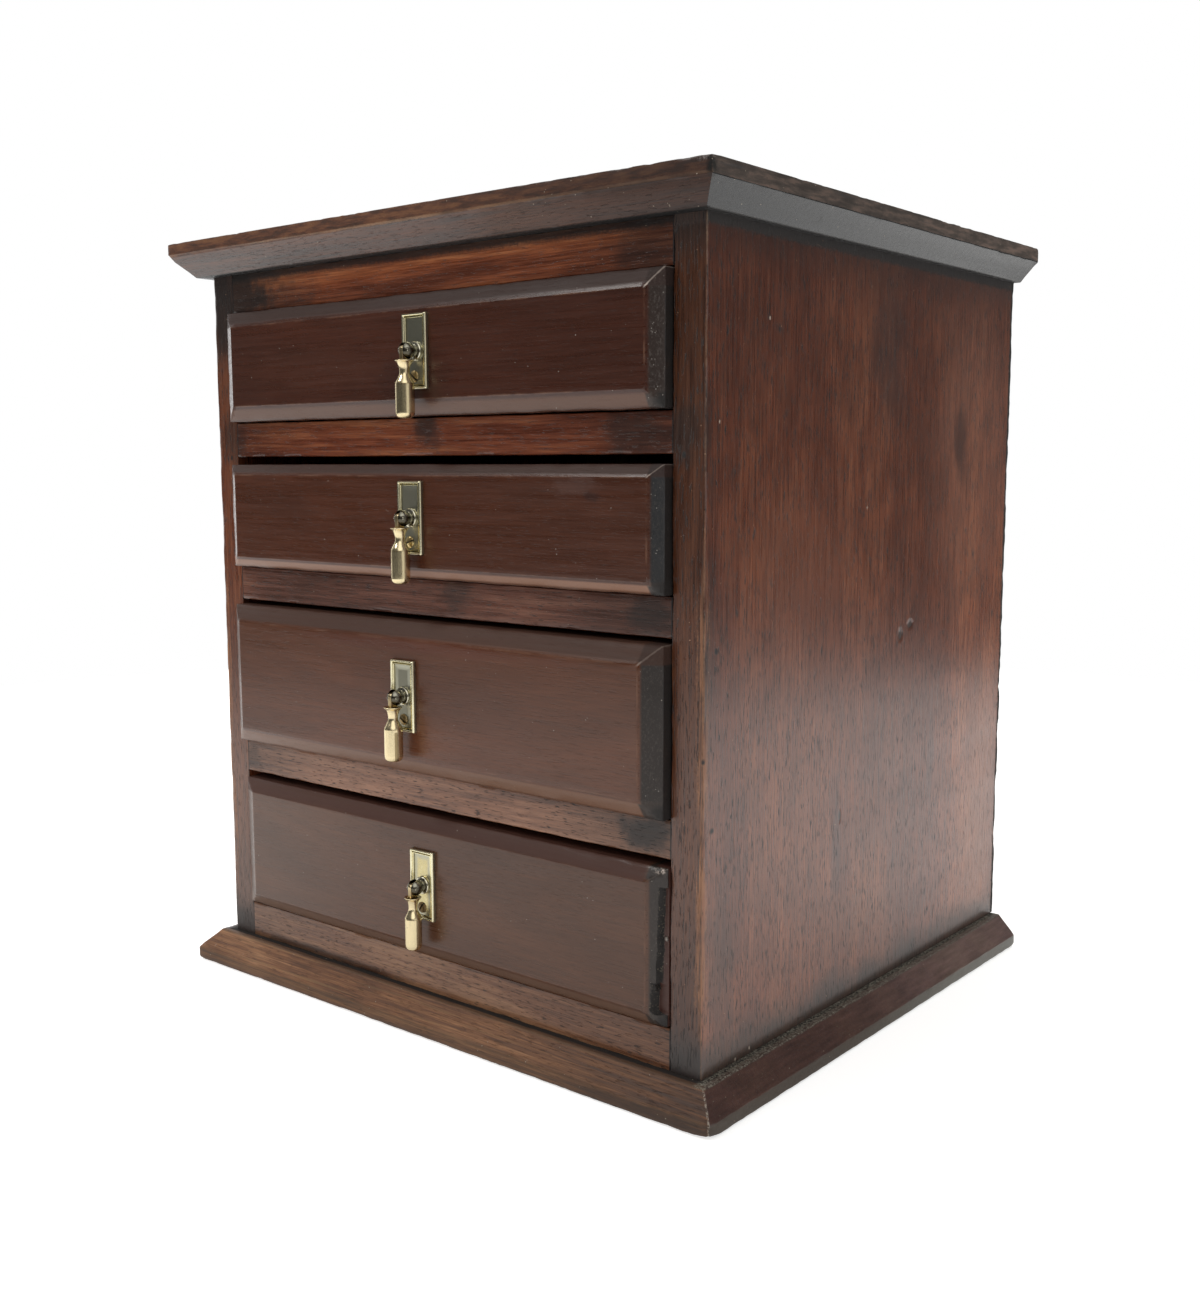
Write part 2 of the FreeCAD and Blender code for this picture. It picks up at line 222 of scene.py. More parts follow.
class Wood(Look):
    """Timber as it is cut: broad colour, fine streaks, fibre and short dark pores along one direction."""

    def __init__(self, name, grain, seed, stops, streak=0.5, fibre=0.5, pores=0.5, spread=0.4, wide=0.024,
                 fine=2):
        super().__init__(name)
        shift = (seed * 37, seed * 91, seed * 53)
        streaks, broad, short = (
            self.vec("ADD", self.stretch(*along(grain, factor)), shift) for factor in (0.03, 0.2, 0.11))
        self.wide = self.noise(broad, wide, 4, 0.6, 0.8)
        self.streak = self.noise(streaks, streak, 5, 0.65, 0.15)
        self.fibre = self.noise(streaks, fine, 2, 0.6)
        self.grit = self.noise(self.mm, 0.9, 3, 0.65)
        self.patch = self.noise(self.mm, 0.05, 4, 0.6)
        self.pore = self.step(self.noise(short, 1.7, 1, 0.5), 0.61, 0.69)
        tone = self.scale_add(self.wide, 1 - spread, self.mul(self.streak, spread))
        self.colour = self.ramp(self.step(tone, 0.36, 0.64), stops)
        low, high = 1 - 0.42 * fibre, 1 + 0.36 * fibre
        self.tint(self.step(self.fibre, 0.3, 0.7), grey(high), (low, low * 0.98, low * 0.96))
        self.colour = self.cover(self.colour, self.mul(self.pore, pores), (12, 6, 5))
        self.rough = self.add(self.step(self.streak, 0.3, 0.7, 0.25, 0.36), self.mul(self.pore, 0.25 * pores))
        self.set_height(0.4)

    def set_height(self, fibre):
        """Pores sink in, fibres stand a little proud."""
        self.height = self.scale_add(self.pore, -1, self.mul(self.fibre, fibre))

    def tint(self, share, factor, elsewhere=(1, 1, 1)):
        self.colour = self.tinted(self.colour, share, factor, elsewhere)

    def paint(self, mask, colour, share=1, rough=None):
        """Another colour where a mask is, in some share, and a change of roughness there."""
        if share != 1:
            mask = self.mul(mask, share)
        self.colour = self.cover(self.colour, mask, colour)
        if rough is not None:
            self.roughen(mask, rough)

    def roughen(self, mask, amount):
        self.rough = self.add(self.rough, self.mul(mask, amount))

    def arris(self, a, at_a, b, at_b, width, patchy=0.5, scale=0.05):
        """Worn strip on the line where two planes meet, broken up along its length."""
        d = self.add(self.most(self.away(a, at_a), self.away(b, at_b)), self.jitter(self.grit, width * 0.6))
        here = self.step(self.noise(self.mm, scale, 3, 0.6), 0.5 - patchy * 0.35, 0.5 + patchy * 0.25)
        return self.mul(self.step(d, width, width * 0.35), here)

    def specks(self, amount, scale=0.5):
        """Dust specks, small and scattered."""
        cells = self.node("TexVoronoi", {"Vector": self.mm, "Scale": scale, "Randomness": 1})
        few = self.step(self.noise(self.mm, scale * 0.9, 1), 0.7 - amount * 0.15, 0.74 - amount * 0.15)
        return self.mul(self.step(cells.outputs["Distance"], 0.17, 0.09), few)

    def done(self, depth=0.00016, strength=0.5, coat=0.25, coat_rough=0.16, level=0.5):
        normal = self.bump(self.height, depth, strength)
        return self.finish(self.colour, self.rough, normal, coat=coat, coat_rough=coat_rough, level=level)


def grey(value):
    return (value, value, value)


def scaled(colour, factor):
    return tuple(c * factor for c in colour)


def evenly(dark, middle, light):
    """Three colours at even places of a ramp."""
    return [(0, dark), (0.5, middle), (1, light)]


# ---- camera, light and floor ----
def add_object(name, data):
    obj = bpy.data.objects.new(name, data)
    bpy.context.scene.collection.objects.link(obj)
    return obj


def rotation(degrees, axis):
    return Matrix.Rotation(radians(degrees), 4, axis)


def make_camera():
    data = bpy.data.cameras.new("camera")
    data.sensor_width = SENSOR
    data.lens = FOCAL * SENSOR / PHOTO_HEIGHT
    obj = add_object("camera", data)
    turn = rotation(CAMERA_TURN, "Z") @ rotation(90 - CAMERA_DOWN, "X") @ rotation(CAMERA_ROLL, "Z")
    obj.matrix_world = Matrix.Translation(CAMERA_AT) @ turn
    bpy.context.scene.camera = obj


def room_brightness(g, direction):
    """What polished surfaces see: dim walls that get paler upwards, a pale ceiling and the patches above."""
    height = g.split(direction)[2]
    terms = [ROOM_DIM, g.step(height, 0, 0.62, 0, 0.08), g.step(height, 0.82, 0.97, 0, 0.55)]
    for azimuth, rise, begins, full, brightness in ROOM_PATCHES:
        a, r = radians(azimuth), radians(rise)
        towards = (cos(a) * cos(r), sin(a) * cos(r), sin(r))
        terms.append(g.step(g.vec("DOT_PRODUCT", direction, towards), begins, full, 0, brightness))
    return g.add(*terms)


def make_light():
    scene = bpy.context.scene
    scene.view_settings.view_transform = "Standard"
    scene.world = bpy.data.worlds.new("studio")
    scene.world.use_nodes = True
    g = Graph(scene.world.node_tree)
    ray = g.node("LightPath").outputs
    direction = g.node("TexCoord").outputs["Generated"]
    room = g.background((1, 0.985, 0.965), room_brightness(g, direction))
    soft = g.background((1, 0.99, 0.975), 0.76)
    white = g.background(grey(1), 1)
    lit = g.either(ray["Is Glossy Ray"], soft, room)
    g.node("OutputWorld", (g.either(ray["Is Camera Ray"], lit, white),))

    for name, at, size, power, colour in LAMPS:
        data = bpy.data.lights.new(name, "AREA")
        data.shape = "RECTANGLE"
        data.size, data.size_y = size
        data.energy = power
        data.color = colour
        obj = add_object(name, data)
        obj.location = at
        obj.rotation_euler = (LAMPS_AIM - Vector(at)).to_track_quat("-Z", "Y").to_euler()


def make_floor():
    """A pale disc that glows enough to be white where the camera sees it, and keeps the shadow."""
    bm = bmesh.new()
    bmesh.ops.create_circle(bm, cap_ends=True, segments=96, radius=FLOOR_RADIUS)
    bmesh.ops.translate(bm, verts=bm.verts, vec=(0, 0, -FLOOR_DROP))
    me = bpy.data.meshes.new("floor")
    bm.to_mesh(me)
    bm.free()
    mat = bpy.data.materials.new("pale_table")
    mat.use_nodes = True
    g = Graph(mat.node_tree)
    place = g.node("TexCoord").outputs["Object"]
    # the glow that other rays see is weaker near the cabinet: painted shade round its foot
    glow = g.step(g.vec("LENGTH", place), 0.12, 0.45, 0.2, 0.4)
    seen = g.node("Mix", {0: g.node("LightPath").outputs["Is Camera Ray"], 2: glow, 3: FLOOR_GLOW})
    shader = g.node("BsdfPrincipled", {
        "Base Color": (0.82, 0.82, 0.81), "Roughness": 0.9, "Specular IOR Level": 0.1,
        "Emission Color": grey(1), "Emission Strength": seen.outputs[0]})
    g.node("OutputMaterial", (shader.outputs[0],))
    me.materials.append(mat)
    add_object("floor", me)


# ---- mesh tools ----
def box_mm(node):
    lo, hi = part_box(node)
    return [v / MM for v in lo], [v / MM for v in hi]


def piece(name, bm, material, body, replaces=(), smooth=40):
    """Finished mesh piece on its body."""
    me = bpy.data.meshes.new(name)
    for f in bm.faces:
        f.smooth = True
    bm.normal_update()
    bm.to_mesh(me)
    bm.free()
    me.set_sharp_from_angle(angle=radians(smooth))
    me.materials.append(material)
    obj = add_object(name, me)
    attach(obj, body)
    if replaces:
        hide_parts(*replaces)


def cad_copy(node):
    """A node's own faces again, joined into flat ones, to be worn."""
    bm = bmesh.new()
    bm.from_mesh(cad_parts[node].data)
    bmesh.ops.remove_doubles(bm, verts=bm.verts, dist=2e-6)
    bmesh.ops.dissolve_limit(bm, angle_limit=radians(0.4), verts=bm.verts, edges=bm.edges)
    return bm


def round_off(bm, edges, size, segments):
    bmesh.ops.bevel(bm, geom=edges, offset=size * MM, segments=segments, profile=0.5, affect="EDGES",
                    clamp_overlap=True)


def soften(bm, test, size, segments):
    """Rounds the edges whose both ends pass a test on their place in millimetres."""
    picked = []
    for e in bm.edges:
        if len(e.link_faces) == 2 and e.calc_face_angle(0) > radians(12):
            if all(test(v.co / MM) for v in e.verts):
                picked.append(e)
    round_off(bm, picked, size, segments)


def everything(bm):
    return bm.verts[:] + bm.edges[:] + bm.faces[:]


def slice_up(bm, axis, positions):
    """Cuts across a mesh, so that its edges can be worn between the cuts."""
    normal = Vector([float(i == axis) for i in range(3)])
    for at in positions:
        bmesh.ops.bisect_plane(bm, geom=everything(bm), dist=1e-7, plane_co=normal * at * MM, plane_no=normal)


def steps(low, high, pitch, margin=1.5):
    """Places about a pitch apart between two ends, less a margin."""
    span = high - low - 2 * margin
    count = max(1, int(span / pitch))
    return [low + margin + span * i / count for i in range(count + 1)]


def layered(p, *layers):
    """Noise in layers of some weight and fineness."""
    return sum(weight * noise(p * fineness) for weight, fineness in layers)


def rub(bm, low, high, amount, reach, seed, planes="xyz", bias=0.35, pitch=0.09):
    """Wears a board's arrises inwards, unevenly. The arrises are where two sides of its box meet. A capital
    letter means only the upper side along that axis."""
    pairs = []
    for i, axis in enumerate("xyz"):
        if axis in planes:
            pairs.append((i, low[i], 1))
        if axis.upper() in planes or axis in planes:
            pairs.append((i, high[i], -1))
    for v in bm.verts:
        co = v.co / MM
        near = []
        for i, at, sign in pairs:
            d = (co[i] - at) * sign
            if d < reach:
                near.append((i, sign, 1 - max(d, 0) / reach))
        if len({n[0] for n in near}) < 2:
            continue
        p = co * pitch + Vector((seed * 7.3, seed * 3.1, seed * 1.7))
        n = layered(p, (0.6, 1), (0.3, 3.1), (0.18, 9))
        cut = amount * max(0, bias + n)
        for i, sign, close in near:
            other = max(n2[2] for n2 in near if n2[0] != i)
            v.co[i] += sign * cut * close * other * MM


def rings(loops):
    """Closed skin over loops of points, each with as many points as the next, in millimetres."""
    bm = bmesh.new()
    made = [[bm.verts.new(Vector(p) * MM) for p in loop] for loop in loops]
    for a, b in zip(made, made[1:]):
        for i in range(len(a)):
            j = (i + 1) % len(a)
            bm.faces.new((a[i], a[j], b[j], b[i]))
    bm.faces.new(list(reversed(made[0])))
    bm.faces.new(made[-1])
    bmesh.ops.recalc_face_normals(bm, faces=bm.faces)
    return bm


def spin(profile, at, axis, segments):
    """Turned piece: (distance, radius) pairs about an axis direction, with a closed end where radius is 0."""
    axis = Vector(axis).normalized()
    side = axis.orthogonal().normalized()
    up = axis.cross(side)
    turns = [2 * pi * i / segments for i in range(segments)]
    loops = []
    for t, r in profile:
        r = max(r, 0.002)
        centre = Vector(at) + axis * t
        loops.append([centre + side * (r * cos(a)) + up * (r * sin(a)) for a in turns])
    return rings(loops)


def curve_through(points, steps_each):
    """Smooth run of (a, b) pairs through the given ones."""
    out = []
    last = len(points) - 1
    for i in range(last):
        four = (points[max(i - 1, 0)], points[i], points[i + 1], points[min(i + 2, last)])
        for k in range(steps_each):
            t = k / steps_each
            out.append(tuple(
                0.5 * (2 * b + (c - a) * t + (2 * a - 5 * b + 4 * c - d) * t ** 2
                       + (3 * b - a - 3 * c + d) * t ** 3)
                for a, b, c, d in zip(*four)))
    out.append(points[-1])
    return out


def merge(*parts):
    """Several meshes as one."""
    bm = bmesh.new()
    for part in parts:
        me = bpy.data.meshes.new("part")
        part.to_mesh(me)
        part.free()
        bm.from_mesh(me)
        bpy.data.meshes.remove(me)
    return bm


def slab(outline, x0, x1, soft):
    """Outline of (y, z) points pushed from x0 to x1, with softened edges."""
    bm = rings([[(x0, y, z) for y, z in outline], [(x1, y, z) for y, z in outline]])
    round_off(bm, [e for e in bm.edges if e.calc_face_angle(0) > radians(50)], soft, 3)
    return bm


def rounded_rect(w, h, radius, y, per_corner=5):
    """Rounded rectangle as (x, y, z) points about the origin; w and h are half sizes."""
    points = []
    w, h = w - radius, h - radius
    for quarter, (cx, cz) in enumerate(((w, h), (-w, h), (-w, -h), (w, -h))):
        for i in range(per_corner + 1):
            a = radians(90 * (quarter + i / per_corner))
            points.append((cx + radius * cos(a), y, cz + radius * sin(a)))
    return points


# ---- sizes taken from the frame, in millimetres ----
SIDE_LO, SIDE_HI = box_mm("side_right")
FACE, REARMOST = SIDE_LO[1], SIDE_HI[1]         # Y of the carcase's front and back
LOW, HIGH = SIDE_LO[2], SIDE_HI[2]
HALF = SIDE_HI[0]                               # half the carcase's width
TENON = 6
INNER = -box_mm("rail_1")[0][0] - TENON         # half the width between the side boards
DRAWERS = (1, 2, 3, 4)
FRONTS = {n: box_mm("drawer%d_front" % n) for n in DRAWERS}
# width of the side bevels, height of the upper and lower ones, and how far the field stands out
BEVELS = {1: (7.8, 7.8, 3.6), 2: (6.6, 5.4, 3.4), 3: (9.4, 8.3, 5.4), 4: (9, 6.6, 4)}
OVERHANG = 15                                   # of both moulded boards past the carcase
LEDGE = 5                                       # the part of it that is flat
CORNICE_EDGE, PLINTH_EDGE = 6.2, 6.5            # height of their upright edges
NAIL = (139.4, FACE, 74.3)                      # head in drawer 4's break

# colours of the wood, from dark to light
DARK = (10, 7, 6)

# colour of a front's field; share and colour of the bleached lower bevel; colour of the right bevel; dust
# and scuffs on that; how bare its mitre is
FrontLook = namedtuple("FrontLook", "field low_share low_tone right dust scuff mitre")
FRONT_LOOKS = {
    1: FrontLook((47.5, 12.5, 5.5), 0.38, (200, 96, 56), (19, 11, 8), 2.2, 0.55, 0.85),
    2: FrontLook((63, 17.5, 6.8), 0.8, (285, 145, 90), (8, 13, 16), 1.2, 0.25, 0.5),
    3: FrontLook((99, 32, 13), 0.66, (200, 100, 58), (9, 8, 7), 0.6, 0.3, 0.3),
    4: FrontLook((85, 33, 15), 0.6, (165, 98, 68), (19, 16, 14), 0.8, 0.3, 0.05)}

ORANGE = [(0, (85, 20, 7)), (0.35, (170, 41, 12)), (0.7, (255, 70, 20)), (1, (350, 120, 40))]
RED = [(0, (55, 12, 4)), (0.35, (105, 23, 8)), (0.7, (158, 38, 12)), (1, (230, 72, 24))]
BROWN = evenly((55, 20, 12), (115, 41, 25), (175, 72, 43))
PINK = evenly((105, 42, 23), (205, 90, 48), (285, 140, 83))
STREAKY = evenly((78, 32, 17), (155, 67, 34), (250, 128, 68))
SIDE = [(0, (96, 23, 8)), (0.35, (130, 33, 12)), (0.65, (164, 46, 18)), (1, (225, 74, 30))]
CORNICE = [(0, (26, 10, 6)), (0.45, (52, 20, 11)), (1, (98, 38, 19))]
PLINTH = [(0, (78, 28, 10)), (0.45, (165, 66, 24)), (0.75, (225, 98, 39)), (1, (300, 150, 68))]
PALE = evenly((200, 115, 55), (330, 205, 105), (460, 310, 170))
OLD = evenly((85, 46, 26), (155, 88, 48), (230, 140, 80))

# front edges: name, node, seeds of the wood and of the wear, colours, pores, tint of the left and right ends,
# and dark stains (x, z, half width, half height, share)
Rail = namedtuple("Rail", "name node seed wear stops pores ends stains")
RAILS = (
    Rail("top_rail", "carcase_top", 21, 7, ORANGE, 0.35, (0.72, 0.62),
         ((-136, 358, 34, 22, 0.9), (-95, 352, 30, 14, 0.45), (130, 356, 24, 16, 0.5))),
    Rail("rail_1", "rail_1", 23, 9, RED, 0.35, (0.64, 0.72),
         ((1, 288, 10, 12, 0.75), (124, 284, 24, 14, 0.6), (-141, 284, 8, 12, 0.5))),
    Rail("rail_2", "rail_2", 27, 13, BROWN, 0.6, (0.96, 0.56),
         ((20, 212, 12, 10, 0.5), (130, 210, 14, 9, 0.6))),
    Rail("rail_3", "rail_3", 31, 17, PINK, 0.9, (0.62, 0.52),
         ((128, 118, 16, 10, 0.85), (-138, 116, 8, 8, 0.4))),
    Rail("bottom_rail", "carcase_bottom", 37, 19, STREAKY, 0.7, (0.84, 0.9), ((-80, 18, 80, 3, 0.6),)))


# ---- wood finishes ----
def front_wood(n):
    """Drawer front: dark polished field, and bevels that are bleached, dirty, dusty and worn by turns."""
    lo, hi = FRONTS[n]
    bx, bz, rise = BEVELS[n]
    look = FRONT_LOOKS[n]
    field = look.field
    k = Wood("front_mahogany_%d" % n, "x", 3 + n, evenly(scaled(field, 0.76), field, scaled(field, 1.28)),
             fibre=0.34, pores=0.2, spread=0.32, fine=1.5)
    if n < 3:
        k.tint(k.step(k.x, -120, 130), (0.88, 0.88, 0.92), (1.1, 1.08, 1.05))
    if n == 3:
        k.tint(k.step(k.x, -40, -140), (0.88, 0.92, 0.98))
        k.tint(k.step(k.x, 30, 130), (0.86, 0.9, 0.96))
    k.paint(k.patch, scaled(field, 0.7), 0.35)
    # the bevels are a little browner than the field, the lower one bleached and the right one nearly black
    slope = k.step(k.y, lo[1] + 0.5, lo[1] + 1.2)
    k.paint(slope, (50, 22, 13), 0.35, 0.12)
    lower = k.zone(slope, z=(lo[2] + bz + 0.6, lo[2] + bz - 0.6))
    k.paint(k.zone(lower, z=(lo[2] + 0.4, lo[2] + 1.8, 0.25, 1)), look.low_tone, look.low_share)
    right = k.zone(slope, x=(hi[0] - bx - 0.7, hi[0] - bx + 0.7))
    k.paint(right, look.right, 0.88, 0.1)
    k.paint(k.mul(right, k.specks(look.dust, 0.55)), (260, 240, 210), 0.75, 0.2)
    scuffs = k.step(k.noise(k.stretch(1, 1, 0.6), 1.1, 4, 0.75), 0.5, 0.66)
    k.paint(k.mul(right, scuffs), (85, 70, 60), look.scuff, 0.15)
    # thin worn line round the field, broken, and a bare one up the right-hand mitre
    past_x = k.sub(k.away(k.x, (lo[0] + hi[0]) / 2), (hi[0] - lo[0]) / 2 - bx)
    past_z = k.sub(k.away(k.z, (lo[2] + hi[2]) / 2), (hi[2] - lo[2]) / 2 - bz)
    off_line = k.add(k.math("ABSOLUTE", k.most(past_x, past_z)), k.mul(k.grit, 0.6))
    broken = k.step(k.noise(k.mm, 0.07, 3, 0.7), 0.42, 0.66)
    k.paint(k.mul(k.step(off_line, 0.95, 0.45), broken), (150, 70, 40), 0.55, 0.05)
    u = k.math("DIVIDE", k.sub(hi[0], k.x), bx)
    w = k.math("DIVIDE", k.sub(hi[2], k.z), bz)
    mitre = k.step(k.add(k.away(u, w), k.mul(k.grit, 0.1)), 0.15, 0.07)
    corner = k.mul(k.step(u, 1.15, 0.95), k.step(w, 1.15, 0.95))
    k.paint(k.mul(mitre, corner), (520, 440, 380), look.mitre, 0.15)
    k.paint(k.blot((hi[0], lo[1] + rise, lo[2] + 2), (6, 8, 6), 0.5, 0.3), DARK, 1, 0.2)
    # stains: x, z, half width, half height, raggedness and its scale, share and colour
    stains = {
        1: ((-60, lo[2] + 24, 70, 12, 0.6, 0.03, 0.35, (75, 24, 13)),
            (3, lo[2] + 16, 24, 16, 0.6, 0.08, 0.5, (24, 9, 7))),
        2: ((94, 262.7, 17, 5, 1.1, 0.12, 0.1, (220, 170, 160)),
            (106, 258, 5, 2.4, 0.6, 0.2, 0.5, (20, 12, 12))),
        3: ((10, hi[2] - 11, 90, 4, 0.5, 0.03, 0.5, (85, 22, 12)),)}
    for x, z, wide, high, ragged, scale, share, colour in stains.get(n, ()):
        k.paint(k.blot((x, lo[1], z), (wide, 9, high), ragged, scale), colour, share)
    if n == 4:
        broken_bevel(k, lo, hi, bx, bz)
    else:
        k.paint(k.step(k.x, hi[0] - 0.35, hi[0] - 0.1), DARK, 1, 0.2)
    k.paint(k.specks(0.15), (300, 260, 230))
    coat = 0.1
    if n < 4:
        above = k.zone(slope, z=(hi[2] - bz - 0.6, hi[2] - bz + 0.6))
        k.paint(above, scaled(field, 0.5), 0.6, 0.42)
        coat = k.step(above, 0, 1, 0.1, 0)
    return k.done(depth=0.00008, strength=0.3, coat=coat, coat_rough=0.12)


def broken_bevel(k, lo, hi, bx, bz):
    """Drawer 4's own marks: haze on the left, a redder top bevel, dirt and splinters in the broken one."""
    k.paint(k.step(k.x, -20, -130), (220, 170, 140), 0.12)
    top = k.zone(z=(hi[2] - bz - 0.8, hi[2] - bz + 0.6), x=(hi[0] - bx, hi[0] - bx - 2))
    k.paint(top, (62, 19, 12), 0.7, 0.34)
    lip = k.zone(x=(hi[0] - 7, hi[0] - 6), y=(FACE - 0.9, FACE - 0.45))
    k.paint(lip, (62, 24, 17), 1, 0.05)
    raw = k.attribute("raw")
    k.paint(k.step(k.add(raw, k.jitter(k.grit, 0.45)), 0.25, 0.6), (12, 9, 8), 1, 0.4)
    crumbs = k.mul(k.step(raw, 0.1, 0.5), k.step(k.noise(k.mm, 1.2, 2), 0.62, 0.69))
    k.paint(crumbs, (130, 110, 80), 1, 0.3)
    fuzz = k.blot((hi[0] - 3, lo[1] + 2, hi[2] - 1.2), (4.5, 4, 1.8), 0.7, 0.6)
    k.paint(k.mul(fuzz, k.step(k.grit, 0.48, 0.6)), (450, 380, 330), 1, 0.3)
    k.paint(k.blot(NAIL, (0.9, 3, 1.3), 0), (250, 220, 190))


def rail_wood(rail):
    """Front edge of a rail, the carcase top or its bottom: darker towards both ends."""
    k = Wood(rail.name + "_mahogany", "x", rail.seed, rail.stops, fibre=0.45, pores=rail.pores, spread=0.45)
    for x, z, wide, high, share in rail.stains:
        k.paint(k.blot((x, FACE, z), (wide, 9, high), 0.7, 0.09), DARK, share, 0.1)
    # the carcase top darker along its top edge under the cornice: grime and painted shade
    if rail.node == "carcase_top":
        k.paint(k.step(k.add(k.z, k.mul(k.grit, 3)), HIGH - 4, HIGH - 0.5), DARK, 0.9, 0.15)
    left, right = rail.ends
    k.tint(k.step(k.x, -70, -140), grey(left))
    k.tint(k.step(k.x, 50, 140), grey(right))
    joint = k.step(k.math("ABSOLUTE", k.x), INNER - 0.9, INNER - 0.3)
    k.paint(joint, (6, 4, 4), 1, 0.2)
    k.paint(k.specks(0.2), (300, 240, 180))
    return k.done(strength=0.45, coat=0.15)


def stile_colour(k, sign):
    """Front edge of a side board, darker and browner on the right, paler on the left with a painted sheen
    lower down.
    """
    if sign > 0:
        stops = evenly((26, 7, 2), (56, 15, 3.5), (92, 29, 8))
    else:
        stops = evenly((55, 13, 5), (105, 28, 10), (150, 50, 19))
    grain = k.scale_add(k.streak, 0.45, k.scale_add(k.wide, 0.2, k.mul(k.fibre, 0.35)))
    brown = k.ramp(k.step(grain, 0.36, 0.64), stops)
    brown = k.cover(brown, k.mul(k.pore, 0.75), (10, 5, 4))
    brown = k.tinted(brown, k.step(k.z, 330, 210), (1.3, 1.28, 1.28))
    brown = k.tinted(brown, k.step(k.z, 110, 40), (0.7, 0.68, 0.7))
    # paler lower down on the left stile: painted sheen
    if sign < 0:
        brown = k.cover(brown, k.step(k.z, 230, 90, 0, 0.2), (250, 240, 210))
    return brown


